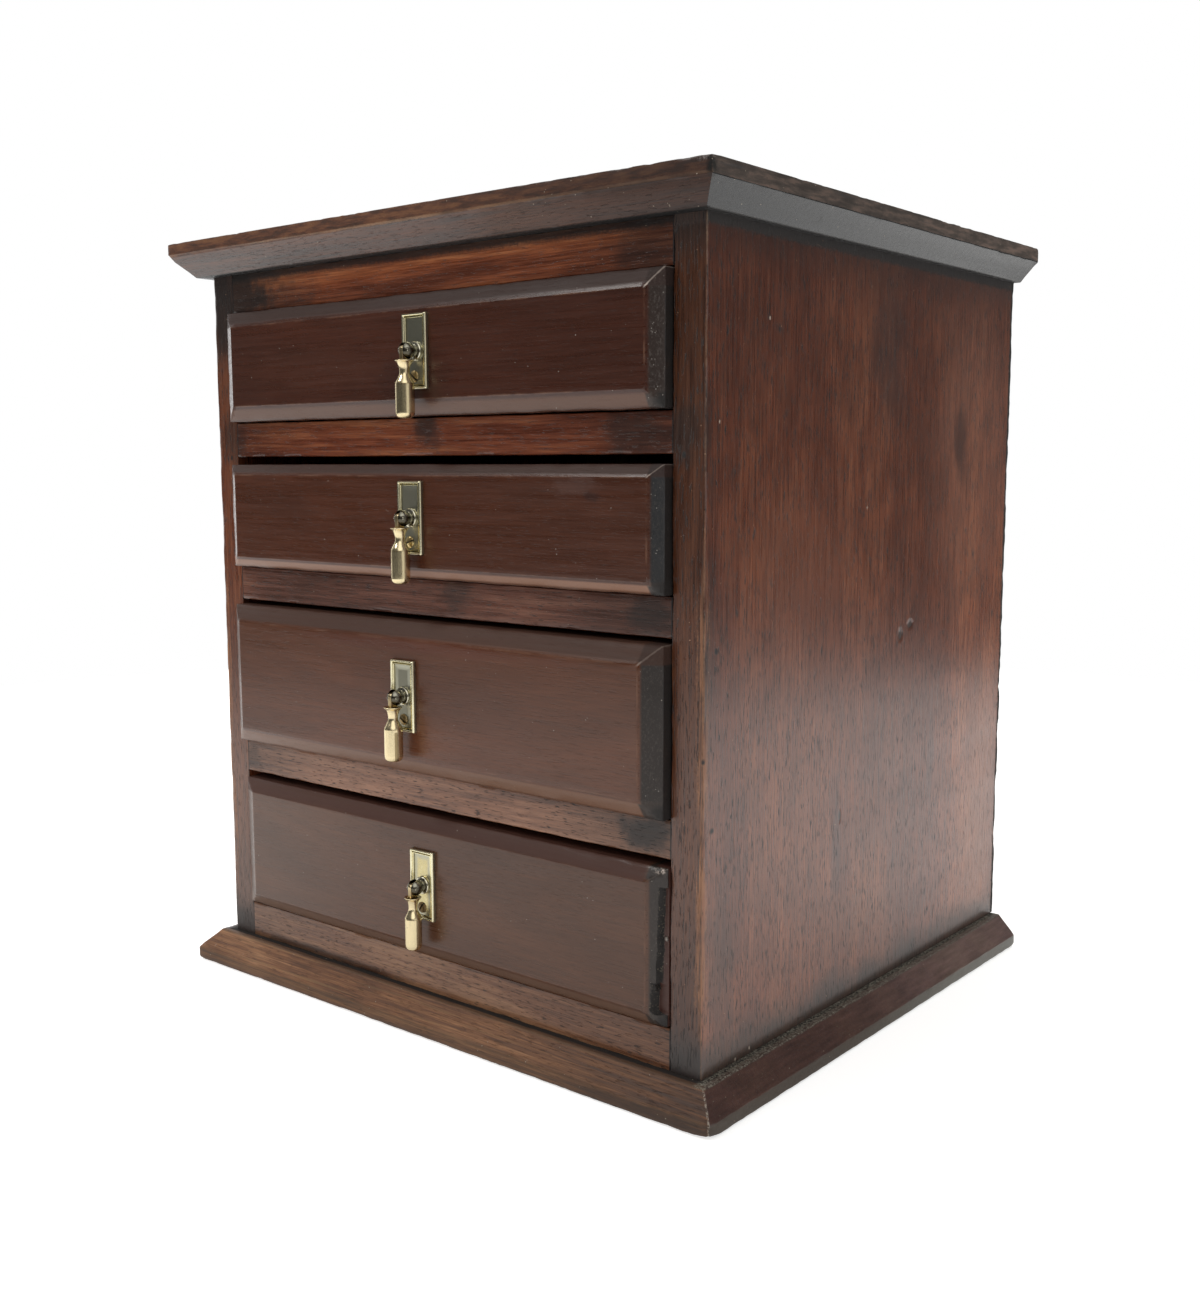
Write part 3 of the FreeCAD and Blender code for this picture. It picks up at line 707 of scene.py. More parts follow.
def side_wood(side, sign):
    """Side boards: the same timber, each with its own stains, dents and rubbed arris."""
    k = Wood(side + "_mahogany", "z", 11 + sign, SIDE, streak=0.9, fibre=0.58, pores=1, spread=0.5,
             wide=0.018, fine=1.6)
    x = sign * HALF
    k.tint(k.step(k.patch, 0.36, 0.64), (1.12, 1.13, 1.13), (0.86, 0.84, 0.82))
    # darker towards the top: painted shade under the cornice
    k.tint(k.step(k.z, 210, 366), (0.72, 0.7, 0.74))
    k.tint(k.zone(y=(20, 125), z=(352, 300)), grey(1.4))
    k.tint(k.zone(y=(-20, -135), z=(120, 210)), (0.74, 0.66, 0.6))
    # pale clouds, then dark stains, long runs and dents: y, z, radii, raggedness and its scale, share, colour
    for y, z, radii, ragged, scale, share, colour in (
            (128, 90, (9, 26, 110), 0.4, 0.02, 0.4, (320, 130, 70)),
            (-60, 225, (9, 50, 40), 0.5, 0.03, 0.35, (190, 62, 30)),
            (108, 268, (9, 62, 90), 0.4, 0.02, 0.13, (360, 240, 190))):
        k.paint(k.blot((x, y, z), radii, ragged, scale), colour, share)
    for y, z, radii, share, colour in (
            (12, 322, (8, 20, 38), 0.5, (30, 16, 14)), (91, 283, (8, 9, 22), 0.6, (30, 14, 12)),
            (-29, 94, (8, 5, 30), 0.4, (40, 34, 38)), (67, 122, (8, 7, 30), 0.3, (50, 44, 50)),
            (-124, 60, (8, 14, 44), 0.4, (30, 22, 20)), (40, 192, (3, 3, 2), 0.8, DARK),
            (30, 188, (3, 2, 3), 0.8, DARK), (-26, 108, (3, 1.1, 3), 0.9, DARK)):
        k.paint(k.blot((x, y, z), radii, 0.6, 0.06), colour, share, 0.06)
    # grime behind the front arris and above the plinth; grime and painted shade under the cornice
    smears = k.step(k.noise(k.stretch(1, 1, 0.35), 0.06, 4, 0.7), 0.47, 0.6)
    handled = k.mul(k.step(k.add(k.y, k.mul(k.streak, 9)), FACE + 15, FACE + 5), smears)
    k.paint(k.mul(handled, k.step(k.z, 345, 300), k.step(k.z, 120, 200)), (16, 11, 9), 0.6, 0.06)
    upper = k.add(k.z, k.jitter(k.grit, 3))
    # dark band under the cornice, darkest just below it: grime and painted shade
    k.paint(k.step(upper, HIGH - 22, HIGH - 4), (22, 11, 9), 0.45, 0.05)
    k.paint(k.step(upper, HIGH - 5.6, HIGH - 3.4), (16, 12, 11), 1, 0.3)
    lower = k.add(k.z, k.jitter(k.patch, 8))
    k.paint(k.step(lower, LOW + 22, LOW + 2), (21, 24, 21), 0.78, 0.1)
    # front edge of the board: the stile
    stile = k.zone(k.step(k.away(k.x, sign * (HALF + 10)), 10.25, 10.6), y=(FACE + 0.5, FACE + 0.3))
    k.paint(stile, stile_colour(k, sign))
    k.paint(k.mul(stile, k.step(lower, LOW + 26, LOW + 6)), (22, 19, 18), 0.85, 0.12)
    # the stile darker under the cornice: grime and painted shade
    k.paint(k.mul(stile, k.step(upper, HIGH - 22, HIGH - 3)), DARK, 0.6, 0.1)
    if sign < 0:
        k.paint(k.blot((-150, FACE, 352), (20, 8, 34), 0.5, 0.05), DARK, 0.9, 0.1)
    k.paint(k.mul(stile, k.blot((sign * 146, FACE, 284), (9, 6, 16), 0.6, 0.1)), DARK, 0.6)
    # thin worn line on the front arris, wider and orange lower down
    k.paint(k.arris(k.x, x, k.y, FACE, 0.75, 0.9, 0.05), (260, 155, 75), 0.55, 0.15)
    low_half = k.zone(k.step(lower, LOW + 8, LOW + 48), z=(240, 205))
    flame = k.mul(k.arris(k.x, x, k.y, FACE, 4.6, 1, 0.06), low_half, k.step(k.streak, 0.42, 0.56))
    k.paint(flame, (300, 125, 46), 0.9, 0.1)
    # blackened rear arris, and bare wood on the rear face
    rear = (REARMOST - 4.2, REARMOST - 2.4)
    k.paint(k.step(k.add(k.y, k.jitter(k.grit, 2)), *rear), (10, 10, 9), 1, 0.7)
    from_arris = k.add(k.away(k.x, x), k.mul(k.grit, 2))
    k.paint(k.zone(k.step(from_arris, 2.6, 4.2), y=(REARMOST - 0.5, REARMOST - 0.2)), (85, 42, 23))
    # near-black spots for nail holes that the mesh lacks: painted shade in them
    for hole in ((sign * 146.5, FACE, 275), (x, FACE, 151.7), (x, -131, 122), (x, -129, 196)):
        k.paint(k.blot(hole, (1.2, 1.6, 1.6), 0.3, 0.6), (4, 3, 3), 1, 0.3)
    for y, z in ((-92, 331), (-6, 251), (-128, 288), (-112, 17.5), (-101, 19)):
        k.paint(k.blot((x, y, z), (2, 0.55, 0.95), 0.3, 0.8), (420, 340, 270), 1, 0.2)
    k.paint(k.specks(0.3), (340, 200, 120))
    dents = k.most(*(k.blot((x, y, z), radii) for y, z, radii in (
        (40, 192, (4, 4, 3)), (30, 188, (4, 3, 4)), (-26, 108, (3, 1.5, 4)))))
    k.set_height(0.45)
    k.height = k.scale_add(dents, -3, k.height)
    polish = k.mul(k.step(k.y, FACE + 0.3, FACE + 0.7, 0.08, 1), k.step(k.y, *rear, 1, 0.1))
    coat, level = (0.48, 0.8) if sign > 0 else (0.2, 0.5)
    return k.done(depth=0.00034, strength=0.75, coat=k.mul(polish, coat), coat_rough=0.22, level=level)


def moulding_places(k, shift=0, forward=0):
    """How far a place lies past the mitre towards the end, how far out it is, and a mask of the two ends."""
    out_x = k.sub(k.away(k.x, shift), HALF)
    out_y = k.sub(FACE, k.y)
    lean = k.sub(k.mul(out_x, (OVERHANG + forward) / OVERHANG), out_y)
    return lean, k.most(out_x, out_y), k.step(lean, -0.35, 0.35)


def cornice_wood(z_break, z_ledge, shift, forward):
    """Cornice: brown front, polished black ends, a dry upright edge, and a top that is one dusty board."""
    k = Wood("cornice_mahogany", "x", 41, CORNICE, fibre=0.55, pores=0.45, spread=0.5)
    _, outer, ends = moulding_places(k, shift, forward)
    # only the moulded edge is split into front and ends; the broad face is one board
    edge = k.most(k.step(outer, 13.2, 14.2), k.step(k.z, z_break + 0.8, z_break - 0.2))
    edge = k.zone(edge, y=(REARMOST - 0.2, REARMOST - 0.7))
    ends = k.mul(ends, edge)
    front = k.mul(k.flip(ends), edge)
    end_grain = k.noise(k.stretch(1, 0.05, 1), 0.5, 3, 0.55)
    k.paint(ends, k.ramp(end_grain, [(0.2, (9, 10, 12)), (0.8, (13, 15, 18))]), 1, -0.04)
    k.height = k.mul(k.height, k.flip(ends))
    # upright edge: rusty in front, grey and gnarled at the ends, dry all round
    fascia = k.step(k.z, z_break - 0.75, z_break - 0.35)
    run = k.stretch(0.16, 0.16, 1)
    rust = k.ramp(k.step(k.noise(run, 0.55, 4, 0.65), 0.32, 0.68), [
        (0, (42, 15, 6)), (0.55, (84, 28, 10)), (1, (130, 52, 17))])
    k.paint(k.mul(fascia, front), rust)
    gnarl = k.ramp(k.step(k.noise(run, 0.4, 4, 0.65), 0.32, 0.68), [
        (0, (34, 27, 23)), (0.6, (62, 48, 41)), (1, (105, 75, 62))])
    k.paint(k.mul(fascia, ends), gnarl)
    k.tint(k.zone(fascia, ends, y=(-70, 120)), grey(1.42))
    k.roughen(k.mul(fascia, edge), 0.38)
    # the top: dry and dusty, in patches
    dusty = k.mul(k.flip(edge), k.step(k.patch, 0.4, 0.7, 0.15, 0.6))
    k.paint(dusty, (85, 43, 26), 1, 0.12)
    reach = FACE - OVERHANG
    k.paint(k.arris(k.y, reach - forward, k.z, z_break, 0.8, 0.8, 0.03), (300, 190, 110), 0.55, 0.1)
    # right-hand front corner: rubbed bare on top, with a black notch below
    worn = k.blot((HALF + 11 + shift, reach, 384.8), (5.5, 4, 2.2), 0.6, 0.5)
    k.paint(k.mul(worn, k.step(k.grit, 0.42, 0.62, 0, 0.8)), (460, 430, 400), 1, 0.3)
    notch = k.blot((HALF + 14 + shift, reach, 381), (2.2, 3.4, 5), 0.5, 0.5)
    k.paint(notch, (12, 11, 10), 1, 0.3)
    # underside of the ledge painted near-black: painted shade
    k.paint(k.step(k.z, z_ledge + 0.7, z_ledge + 0.1), (5, 5, 5), 1, 0.3)
    for y, z, size in ((-131, 371, 1.4), (-85, 371.5, 1.3), (-66, 373, 1.2), (96, 372, 1.1)):
        k.paint(k.blot((HALF + 10, y, z), (5, size, size), 0.4, 0.9), (4, 4, 4), 1, 0.1)
    k.paint(k.mul(ends, k.step(end_grain, 0.6, 0.72)), (35, 38, 42), 0.5)
    # the front's right-hand part darker and duller: a painted reflection of the shaded table in front of it
    painted_dark_reflection = k.zone(front, x=(-20, 160))
    k.tint(painted_dark_reflection, (0.48, 0.45, 0.46), (1.15, 1.06, 0.98))
    k.roughen(painted_dark_reflection, 0.12)
    coat = k.step(k.mul(painted_dark_reflection, k.flip(fascia)), 0, 1, 0.38, 0.08)
    coat = k.step(ends, 0, 1, coat, k.step(k.y, -150, 110, 0.3, 0.43))
    return moulding_done(k, k.step(edge, 0, 1, 0.12, coat))


def plinth_wood(z_break, z_ledge):
    """Plinth: streaky golden brown in front, plum-coloured ends, dirt on the ledge."""
    k = Wood("plinth_mahogany", "x", 43, PLINTH, fibre=0.55, pores=0.35, spread=0.5)
    lean, outer, ends = moulding_places(k)
    front = k.flip(ends)
    end_grain = k.noise(k.stretch(1, 0.12, 1), 0.5, 3, 0.55)
    k.paint(ends, k.ramp(end_grain, [(0.25, (32, 15, 13)), (0.75, (80, 36, 30))]), 0.9, -0.02)
    gold = k.step(k.noise(k.stretch(0.02, 1, 1), 0.42, 3, 0.6), 0.56, 0.7)
    k.paint(k.mul(front, gold), (240, 130, 52), 0.5)
    k.paint(k.arris(k.y, FACE - LEDGE, k.z, z_ledge, 1, 0.9, 0.03), (260, 140, 65), 0.75, 0.1)
    k.paint(k.arris(k.y, FACE - OVERHANG, k.z, z_break, 1.3, 0.8, 0.03), (200, 120, 60), 0.35, 0.1)
    low = k.step(k.z, z_break + 0.4, z_break - 0.6)
    k.paint(k.mul(low, k.scale_add(ends, 0.45, 0.35)), (60, 48, 34), 1, 0.25)
    k.tint(k.zone(front, x=(20, 170)), (0.66, 0.68, 0.74))
    mitre = k.zone(k.step(k.away(lean, -0.3), 0.85, 0.35), x=(0, 10))
    crumbs = k.noise(k.mm, 1.3, 3, 0.7)
    k.paint(k.mul(mitre, k.step(crumbs, 0.44, 0.6, 0, 0.8)), (340, 300, 250), 1, 0.3)
    k.tint(k.zone(ends, y=(-60, 100)), (2, 2.6, 3))
    ledge = k.step(k.z, z_ledge - 0.9, z_ledge - 0.3)
    k.paint(ledge, (30, 21, 17), 0.55, 0.2)
    k.paint(k.mul(ledge, k.step(outer, 3.6, 2.2)), (14, 10, 8), 1, 0.3)
    dirt = k.zone(ledge, k.step(crumbs, 0.44, 0.62), x=(HALF - 1, HALF + 1))
    k.paint(dirt, (210, 190, 150), 1, 0.4)
    k.rough = k.add(k.rough, k.scale_add(front, 0.16, 0.08))
    k.paint(k.blot((-160, FACE - 10, 9), (1, 3, 1.2), 0), (300, 240, 180))
    return moulding_done(k, k.zone(ends, y=(-40, 110, 0, 0.5)))


def moulding_done(k, coat):
    k.paint(k.specks(0.45), (300, 250, 190))
    return k.done(depth=0.0002, coat=coat, coat_rough=0.22)


def lining(name, grain, seed, stops):
    """Bare drawer linings: straight pale timber, handled and dusty."""
    k = Wood(name, grain, seed, stops, pores=0.35, spread=0.45)
    k.paint(k.step(k.patch, 0.52, 0.78, 0, 0.45), (160, 95, 50))
    k.rough = k.step(k.streak, 0.3, 0.7, 0.55, 0.72)
    return k.done(depth=0.00018, coat=0, level=0.35)


# ---- brass ----
def brass(name, bright, dull, rough_bright, rough_dull, start, end, tarnish, pits=0.7, middle=None):
    """Brass, polished where an attribute says so and browned elsewhere; on the boss and the drop that
    attribute also carries painted highlight and painted shade.
    """
    k = Look(name)
    rubbed = k.attribute("rubbed")
    cloud = k.noise(k.mm, 0.4, 4, 0.65, 0.3)
    fine = k.noise(k.mm, 3.2, 3, 0.7)
    lines = k.noise(k.stretch(1, 1, 0.05), 2.4, 2, 0.6)
    share = k.step(k.add(rubbed, k.jitter(cloud, tarnish * 0.5)), start, end)
    middle = middle or tuple((a + b) / 2 for a, b in zip(bright, dull))
    colour = k.ramp(share, evenly(dull, middle, bright))
    colour = k.cover(colour, k.step(fine, 0.35, 0.75, 0, 0.25), scaled(bright, 0.6))
    colour = k.cover(colour, k.step(lines, 0.52, 0.7, 0, 0.35), scaled(bright, 0.55))
    holes = k.step(k.noise(k.mm, 1, 1, 0.5), 0.74, 0.78)
    colour = k.cover(colour, k.mul(holes, pits), (30, 22, 14))
    # near-black where the attribute is lowest: patina in slots, and painted shade on the boss's lower right
    # cheek and the drop's collar top
    colour = k.cover(colour, k.step(rubbed, 0.09, 0.03), (75, 65, 45))
    rough = k.add(k.step(share, 0, 1, rough_dull, rough_bright), k.mul(fine, 0.08))
    normal = k.bump(k.add(fine, k.mul(cloud, 1.5)), 0.00004, 0.3)
    return k.finish(colour, rough, normal, metal=1)


def mark(bm, wear_and_light_at):
    """Stores how far each point has been rubbed bright, and on the boss and the drop how it is painted lit or
    shaded.
    """
    layer = bm.verts.layers.float.get("rubbed") or bm.verts.layers.float.new("rubbed")
    for v in bm.verts:
        v[layer] = wear_and_light_at(v.co / MM)
    return bm


# ---- boards ----
def moulding_section(z_ledge, z_break, z_face, radius):
    """Moulded edge as (distance out, z) pairs: ledge, long bevel, break, upright edge and rounded arris."""
    s = 1 if z_face > z_ledge else -1
    slope = z_break - z_ledge
    edge = abs(z_face - z_break)
    section = [(LEDGE, z_ledge), (LEDGE + 0.35, z_ledge + s * 0.12), (LEDGE + 0.9, z_ledge + s * 0.75)]
    section += [(LEDGE + (OVERHANG - LEDGE) * t, z_ledge + slope * t) for t in (0.25, 0.5, 0.75)]
    section += [(OVERHANG - 0.5, z_break - s * 0.5), (OVERHANG - 0.1, z_break - s * 0.1)]
    section += [(OVERHANG, z_break + s * up) for up in (0.3, edge * 0.35, edge * 0.65)]
    for a in (0, pi / 6, pi / 3, pi / 2):
        section.append((OVERHANG - radius * (1 - cos(a)), z_face - s * radius * (1 - sin(a))))
    return section + [(OVERHANG - 3.5, z_face)]


def moulded(z_ledge, z_break, z_face, seed, upper, shift=0, forward=0, taper=0):
    """Cornice or plinth board, its moulded edge worn along the breaks and chipped at the corners."""
    end = box_mm("cornice_board" if upper else "plinth_board")[1][1]
    s = 1 if z_face > z_ledge else -1
    across = [-1 + i / 65 for i in range(130)]
    deep = [i / 110 for i in range(110)]
    loops = []
    for out, z in moulding_section(z_ledge, z_break, z_face, 0.5 if upper else 2):
        x1, y0 = HALF + out, FACE - out - forward * max(0, out - LEDGE) / 10
        loop = [(shift - x1, end - (end - y0) * t, z) for t in deep]
        loop += [(shift + x1 * t, y0, z) for t in across]
        loop += [(shift + x1, y0 + (end - y0) * t, z) for t in deep]
        loop += [(shift - x1 * t, end, z) for t in across]
        loops.append(loop)
    bm = rings(loops)
    span = (OVERHANG + forward) / OVERHANG
    front_y = FACE - OVERHANG - forward
    rough, corner_z, reach, depth = (-0.08, 1.4, 4.5, 1) if upper else (0.12, 0.5, 7.5, 2.6)
    for v in bm.verts:
        co = v.co / MM
        out_x, out_y = abs(co.x - shift) - HALF, FACE - co.y
        if co.y > end - 1e-4 and out_x < 4:
            continue
        side = out_x * span >= out_y - 0.02
        front = out_y >= out_x * span - 0.02
        out = out_x if side else max(out_x, min(out_y, OVERHANG))
        from_edge = abs(out - OVERHANG)
        dz = abs(co.z - z_break)
        line = min(dz + from_edge * 0.7, abs(co.z - z_face) + from_edge * 0.7,
                   (abs(co.z - z_ledge) + abs(out - LEDGE)) * 1.6)
        p = co * 0.11 + Vector((seed, seed * 2, 0))
        n = layered(p, (0.55, 1), (0.35, 3.3), (0.25, 10))
        cut = max(0, rough + n) * 0.9 * max(0, 1 - line / 1.9)
        if out > OVERHANG - 0.5:
            cut_out = cut + 0.16 * max(0, noise(co * 0.6 + Vector((seed, 0, 0))))
        else:
            cut_out = cut
        # the right-hand front corner is chipped, the left one and the right-hand rear one a little
        corner_x = (HALF + OVERHANG + shift) - co.x
        corner = hypot(corner_x, co.y - front_y) + abs(co.z - z_face) * corner_z
        chip = depth * max(0, 1 - corner / reach) * (1 + 0.9 * noise(co * 0.7))
        for other in (hypot(co.x - (shift - HALF - OVERHANG), co.y - front_y),
                      hypot(corner_x, co.y - end)):
            chip = max(chip, max(0, 1 - other / 3) * 0.5)
        if side:
            v.co.x -= copysign((cut_out + chip * 0.8) * MM, co.x - shift)
        if front:
            v.co.y += (cut_out + chip * 0.8) * MM
        if abs(co.z - z_face) < 1:
            v.co.z -= s * (cut * 0.8 + chip * 0.35) * MM
        if taper and dz < 0.6:
            v.co.z -= taper * max(-1, min(1, co.x / 160)) * MM
        if not upper and abs(co.z - z_ledge) < 0.9 and out < 6.2:
            v.co.z -= 0.3 * max(0, noise(co * 0.4)) * MM
    return bm


def add_board(name, bm, material, node, smooth=32):
    piece(name, bm, material, "carcase", [node], smooth)


def add_mouldings():
    lo, hi = box_mm("cornice_board")
    shift = (lo[0] + hi[0]) / 2
    forward = FACE - OVERHANG - lo[1]
    z_break = hi[2] - CORNICE_EDGE
    bm = moulded(lo[2], z_break, hi[2], 3, True, shift, forward, 0.8)
    add_board("cornice_worn", bm, cornice_wood(z_break, lo[2], shift, forward), "cornice_board", 30)
    top = box_mm("plinth_board")[1][2]
    bm = moulded(top, PLINTH_EDGE, 0, 8, False)
    add_board("plinth_worn", bm, plinth_wood(PLINTH_EDGE, top), "plinth_board", 30)


def add_front(n):
    """Drawer front with rounded breaks, rubbed arrises and a slightly uneven field."""
    lo, hi = FRONTS[n]
    edge_y = lo[1] + BEVELS[n][2]
    node = "drawer%d_front" % n
    bm = cad_copy(node)
    soften(bm, lambda p: p.y < lo[1] + 0.05, 1.7, 3)
    soften(bm, lambda p: abs(p.y - edge_y) < 0.05 and min(
        abs(p.x - lo[0]), abs(p.x - hi[0]), abs(p.z - lo[2]), abs(p.z - hi[2])) < 0.05, 0.45, 2)
    slice_up(bm, 0, steps(lo[0], hi[0], 3))
    slice_up(bm, 2, steps(lo[2], hi[2], 3 if n != 4 else 1.3))
    rub(bm, [lo[0], edge_y, lo[2]], [hi[0], 900, hi[2]], 0.55, 2.4, n, "xyz", 0.3)
    for v in bm.verts:
        co = v.co / MM
        if co.y < lo[1] + 0.4:
            v.co.y += (0.12 + 0.11 * noise(co * 0.02 + Vector((n, 0, 0)))) * MM
    if n == 4:
        ragged_break(bm, lo, hi)
        dome = [(0, 1.1), (0.3, 1.05), (0.55, 0.8), (0.7, 0.4), (0.74, 0)]
        bm = merge(bm, spin(dome, Vector(NAIL) + Vector((0, -0.3, 0)), (0, -1, 0), 14))
    piece("drawer_front_%d" % n, bm, front_wood(n), "drawer_%d" % n, [node], 32)


def ragged_break(bm, lo, hi):
    """Marks the wall of drawer 4's break as raw wood and makes it uneven."""
    raw = bm.verts.layers.float.new("raw")
    bm.normal_update()
    for v in bm.verts:
        co = v.co / MM
        if not (0.8 < hi[0] - co.x < 7.2 and co.y < FACE + 0.5 and lo[2] + 3 < co.z < hi[2] - 3):
            continue
        if any(abs(f.normal.x) > 0.75 for f in v.link_faces):
            v[raw] = 1
            p = Vector((0, co.y * 0.2, co.z * 0.45))
            v.co.x += layered(p, (0.75, 1), (0.45, 3)) * MM


def add_rail(rail):
    """Front edge with rubbed arrises."""
    lo, hi = box_mm(rail.node)
    bm = cad_copy(rail.node)
    slice_up(bm, 0, steps(-INNER, INNER, 3.2, 0.8))
    slice_up(bm, 2, [lo[2] + 1.8, lo[2] + 3.2, hi[2] - 3.2, hi[2] - 1.8])
    rub(bm, [-900, lo[1], lo[2]], [900, 900, hi[2]], 0.35, 1.6, rail.wear, "yz", 0.32)
    look = rail_wood(rail)
    add_board(rail.name + "_worn", bm, look, rail.node)
    return look


def add_side(side, sign, seed):
    """Side board with rubbed front arrises and more ragged rear ones."""
    node = "side_" + side
    lo, hi = box_mm(node)
    bm = cad_copy(node)
    slice_up(bm, 2, steps(lo[2], hi[2], 3, 0.8))
    slice_up(bm, 1, [FACE + 2.2, FACE + 3.6, REARMOST - 3.6, REARMOST - 2.2])
    slice_up(bm, 0, [lo[0] + 2.2, lo[0] + 3.6, hi[0] - 3.6, hi[0] - 2.2])
    rub(bm, [lo[0], lo[1], -900], [hi[0], 900, 900], 0.6, 2, seed, "xy", 0.15, 0.07)
    rub(bm, [lo[0], -900, -900], [hi[0], hi[1], 900], 1.1, 2.6, seed + 1, "xY", 0.2, 0.1)
    add_board("side_board_" + side, bm, side_wood(side, sign), node)


# ---- handles ----
SLOT = 1.25          # half width of the slot in a boss
NOSE = 6             # where the boss's round end begins, from the back of the plate
BALL = 3.9           # radius of the boss
PULL = 4.05          # radius of a pull
FULLER = 1.085       # the upper three pulls are a little fuller than that
OUT = (0, -1, 0)
PIN_RADIUS, PIN_REACH = 0.76, 2.25              # of the rod, and from the middle to a head
SCREW_RADIUS, SCREW_RISE, SCREW_SLOT, SLOT_DEPTH = 2.65, 1.15, 0.8, 0.75
SCREW_BELOW = 11.2                              # from the pin's height

# how far the field of each back plate has been rubbed bright
PLATE_FIELDS = {1: 0.14, 2: 0.16, 3: 0.058, 4: 0.5}
# turn of each plate screw's slot in degrees, how far it lies aside, and how bright it is
SCREWS = {1: (-50, -0.8, 0.55), 2: (70, -0.7, 1), 3: (-60, 0, 0.45), 4: (30, -0.8, 0.3)}

FOOT = [(0.88, 0), (0.88, 4.1), (1.2, 4.3), (1.7, 4.3), (2, 4.05), (2.1, 3.65), (2.15, 3.2), (2.3, 2.9),
        (3.6, 2.9), (3.6, 0)]
PIN_HEAD = [(0, 1), (0.72, 1), (0.86, 0.94), (0.93, 0.8), (0.9, 0.62), (0.86, 0.5), (0.97, 0.35), (1, 0)]
# drop: flared collar, waist, round shoulder and a straight body with a rounded end
DROP = [(4.75, 1.9), (4.6, 2.4), (4.32, 3.6), (4.3, 3.92), (4.5, 4.04), (4.78, 3.96), (5.15, 3.55),
        (5.9, 2.98), (7, 2.5), (8.3, 2.22), (9.6, 2.13), (10.7, 2.28), (11.7, 2.72), (12.8, 3.3),
        (13.8, 3.78), (14.6, 4), (14.9, PULL), (15, PULL), (20, PULL), (26.6, PULL), (28, 3.98), (29, 3.66),
        (29.7, 3.05), (30.1, 2.2), (30.27, 1.1), (30.29, 0)]


def plate_mesh(w, h, field):
    """Back plate about the origin: bevelled edge, bead, groove, second bead and a cove down to the field."""
    section = [(0, 0, 0.4)]
    for wide, start, rise, count, worn in ((1.45, 0, 1.25, 7, 1), (0.62, 1.62, 0.78, 5, 0.9)):
        for i in range(count + 1):
            a = pi * i / count
            inward = start + wide / 2 * (1 - cos(a))
            section.append((inward, -0.95 - rise * sin(a), worn if 0 < i < count else 0))
    section += [(2.45, -0.93, 0.12), (5, -0.86, 0.3)]

    def rubbed(p):
        inward = min(w - abs(p.x), h - abs(p.z))
        if inward > 2.5:
            return field
        return min(section, key=lambda item: abs(item[0] - inward) + abs(item[1] - p.y))[2]

    loops = [rounded_rect(w - i, h - i, max(0.5 - i * 0.12, 0.15), y) for i, y, _ in section]
    return mark(rings(loops), rubbed)


def half_boss(centre, side):
    """One cheek of the slotted boss: turned, round-ended and cut flat on the inside."""
    profile = [(3.9, 0)]
    for i in range(17):
        a = radians(-42 + 132 * i / 16)
        profile.append((NOSE + BALL * sin(a), BALL * cos(a)))
    bm = spin(profile, centre, OUT, 44)
    at = Vector((centre.x + side * SLOT, 0, 0)) * MM
    inwards = Vector((-side, 0, 0))
    cut = bmesh.ops.bisect_plane(
        bm, geom=everything(bm), dist=1e-7, plane_co=at, plane_no=inwards, clear_outer=True)
    rim = [g for g in cut["geom_cut"] if isinstance(g, bmesh.types.BMEdge)]
    bmesh.ops.contextual_create(bm, geom=rim)
    return bm


def boss_mesh(centre):
    """Ringed foot, then a slotted ball."""
    def rubbed(p):
        around = hypot(p.x - centre.x, p.z - centre.z)
        if centre.y - p.y < 2.6:
            return 0.85 if around > 3.4 else 0.12
        if abs(p.x - centre.x) < SLOT + 0.05 and around < BALL - 0.3:
            return 0
        # left cheek painted bright as a painted highlight; the right cheek dull, its lower half darker as
        # tarnish and painted shade
        if p.x < centre.x:
            return 0.6
        return 0.1 if p.z > centre.z + 1.2 else 0.045

    return mark(merge(spin(FOOT, centre, OUT, 44), half_boss(centre, -1), half_boss(centre, 1)), rubbed)


def pin_mesh(pin):
    """Rod through the boss, with a dished head at each end."""
    heads = [spin(PIN_HEAD, pin + Vector((s * PIN_REACH, 0, 0)), (s, 0, 0), 20) for s in (-1, 1)]
    half = Vector((PIN_REACH, 0, 0))
    rod = spin([(0, PIN_RADIUS), (2 * PIN_REACH, PIN_RADIUS)], pin - half, (1, 0, 0), 20)
    return mark(merge(rod, *heads), lambda p: 0.6)


def slotted_head(radius, height, slot, depth):
    """Domed screw head lying on y = 0 and rising towards -y, with a slot along z."""
    half = slot / 2
    arc = [pi / 2 * i / 7 for i in range(8)]
    columns = [(-radius + (radius - half) * (1 - cos(a)), False) for a in arc]
    columns += [(-half, True), (0, True), (half, True)]
    columns += [(half + (radius - half) * sin(a), False) for a in arc]
    bm = bmesh.new()
    grid = []
    for u, in_slot in columns:
        reach = sqrt(max(radius * radius - u * u, 1e-4))
        column = []
        for j in range(13):
            v = reach * sin(pi / 2 * (j / 6 - 1))
            d = min(1, hypot(u, v) / radius)
            dome = height * sqrt(max(0, 1 - d * d * 0.94))
            rise = min(height - depth, dome) if in_slot else dome
            column.append(bm.verts.new(Vector((u, -rise, v)) * MM))
        grid.append(column)
    for a, b in zip(grid, grid[1:]):
        for j in range(12):
            bm.faces.new((a[j], a[j + 1], b[j + 1], b[j]))
    bmesh.ops.recalc_face_normals(bm, faces=bm.faces)
    edge = [e for e in bm.edges if e.is_boundary]
    skirt = bmesh.ops.extrude_edge_only(bm, edges=edge)["geom"]
    for v in (g for g in skirt if isinstance(g, bmesh.types.BMVert)):
        v.co.y = 0
    return bm


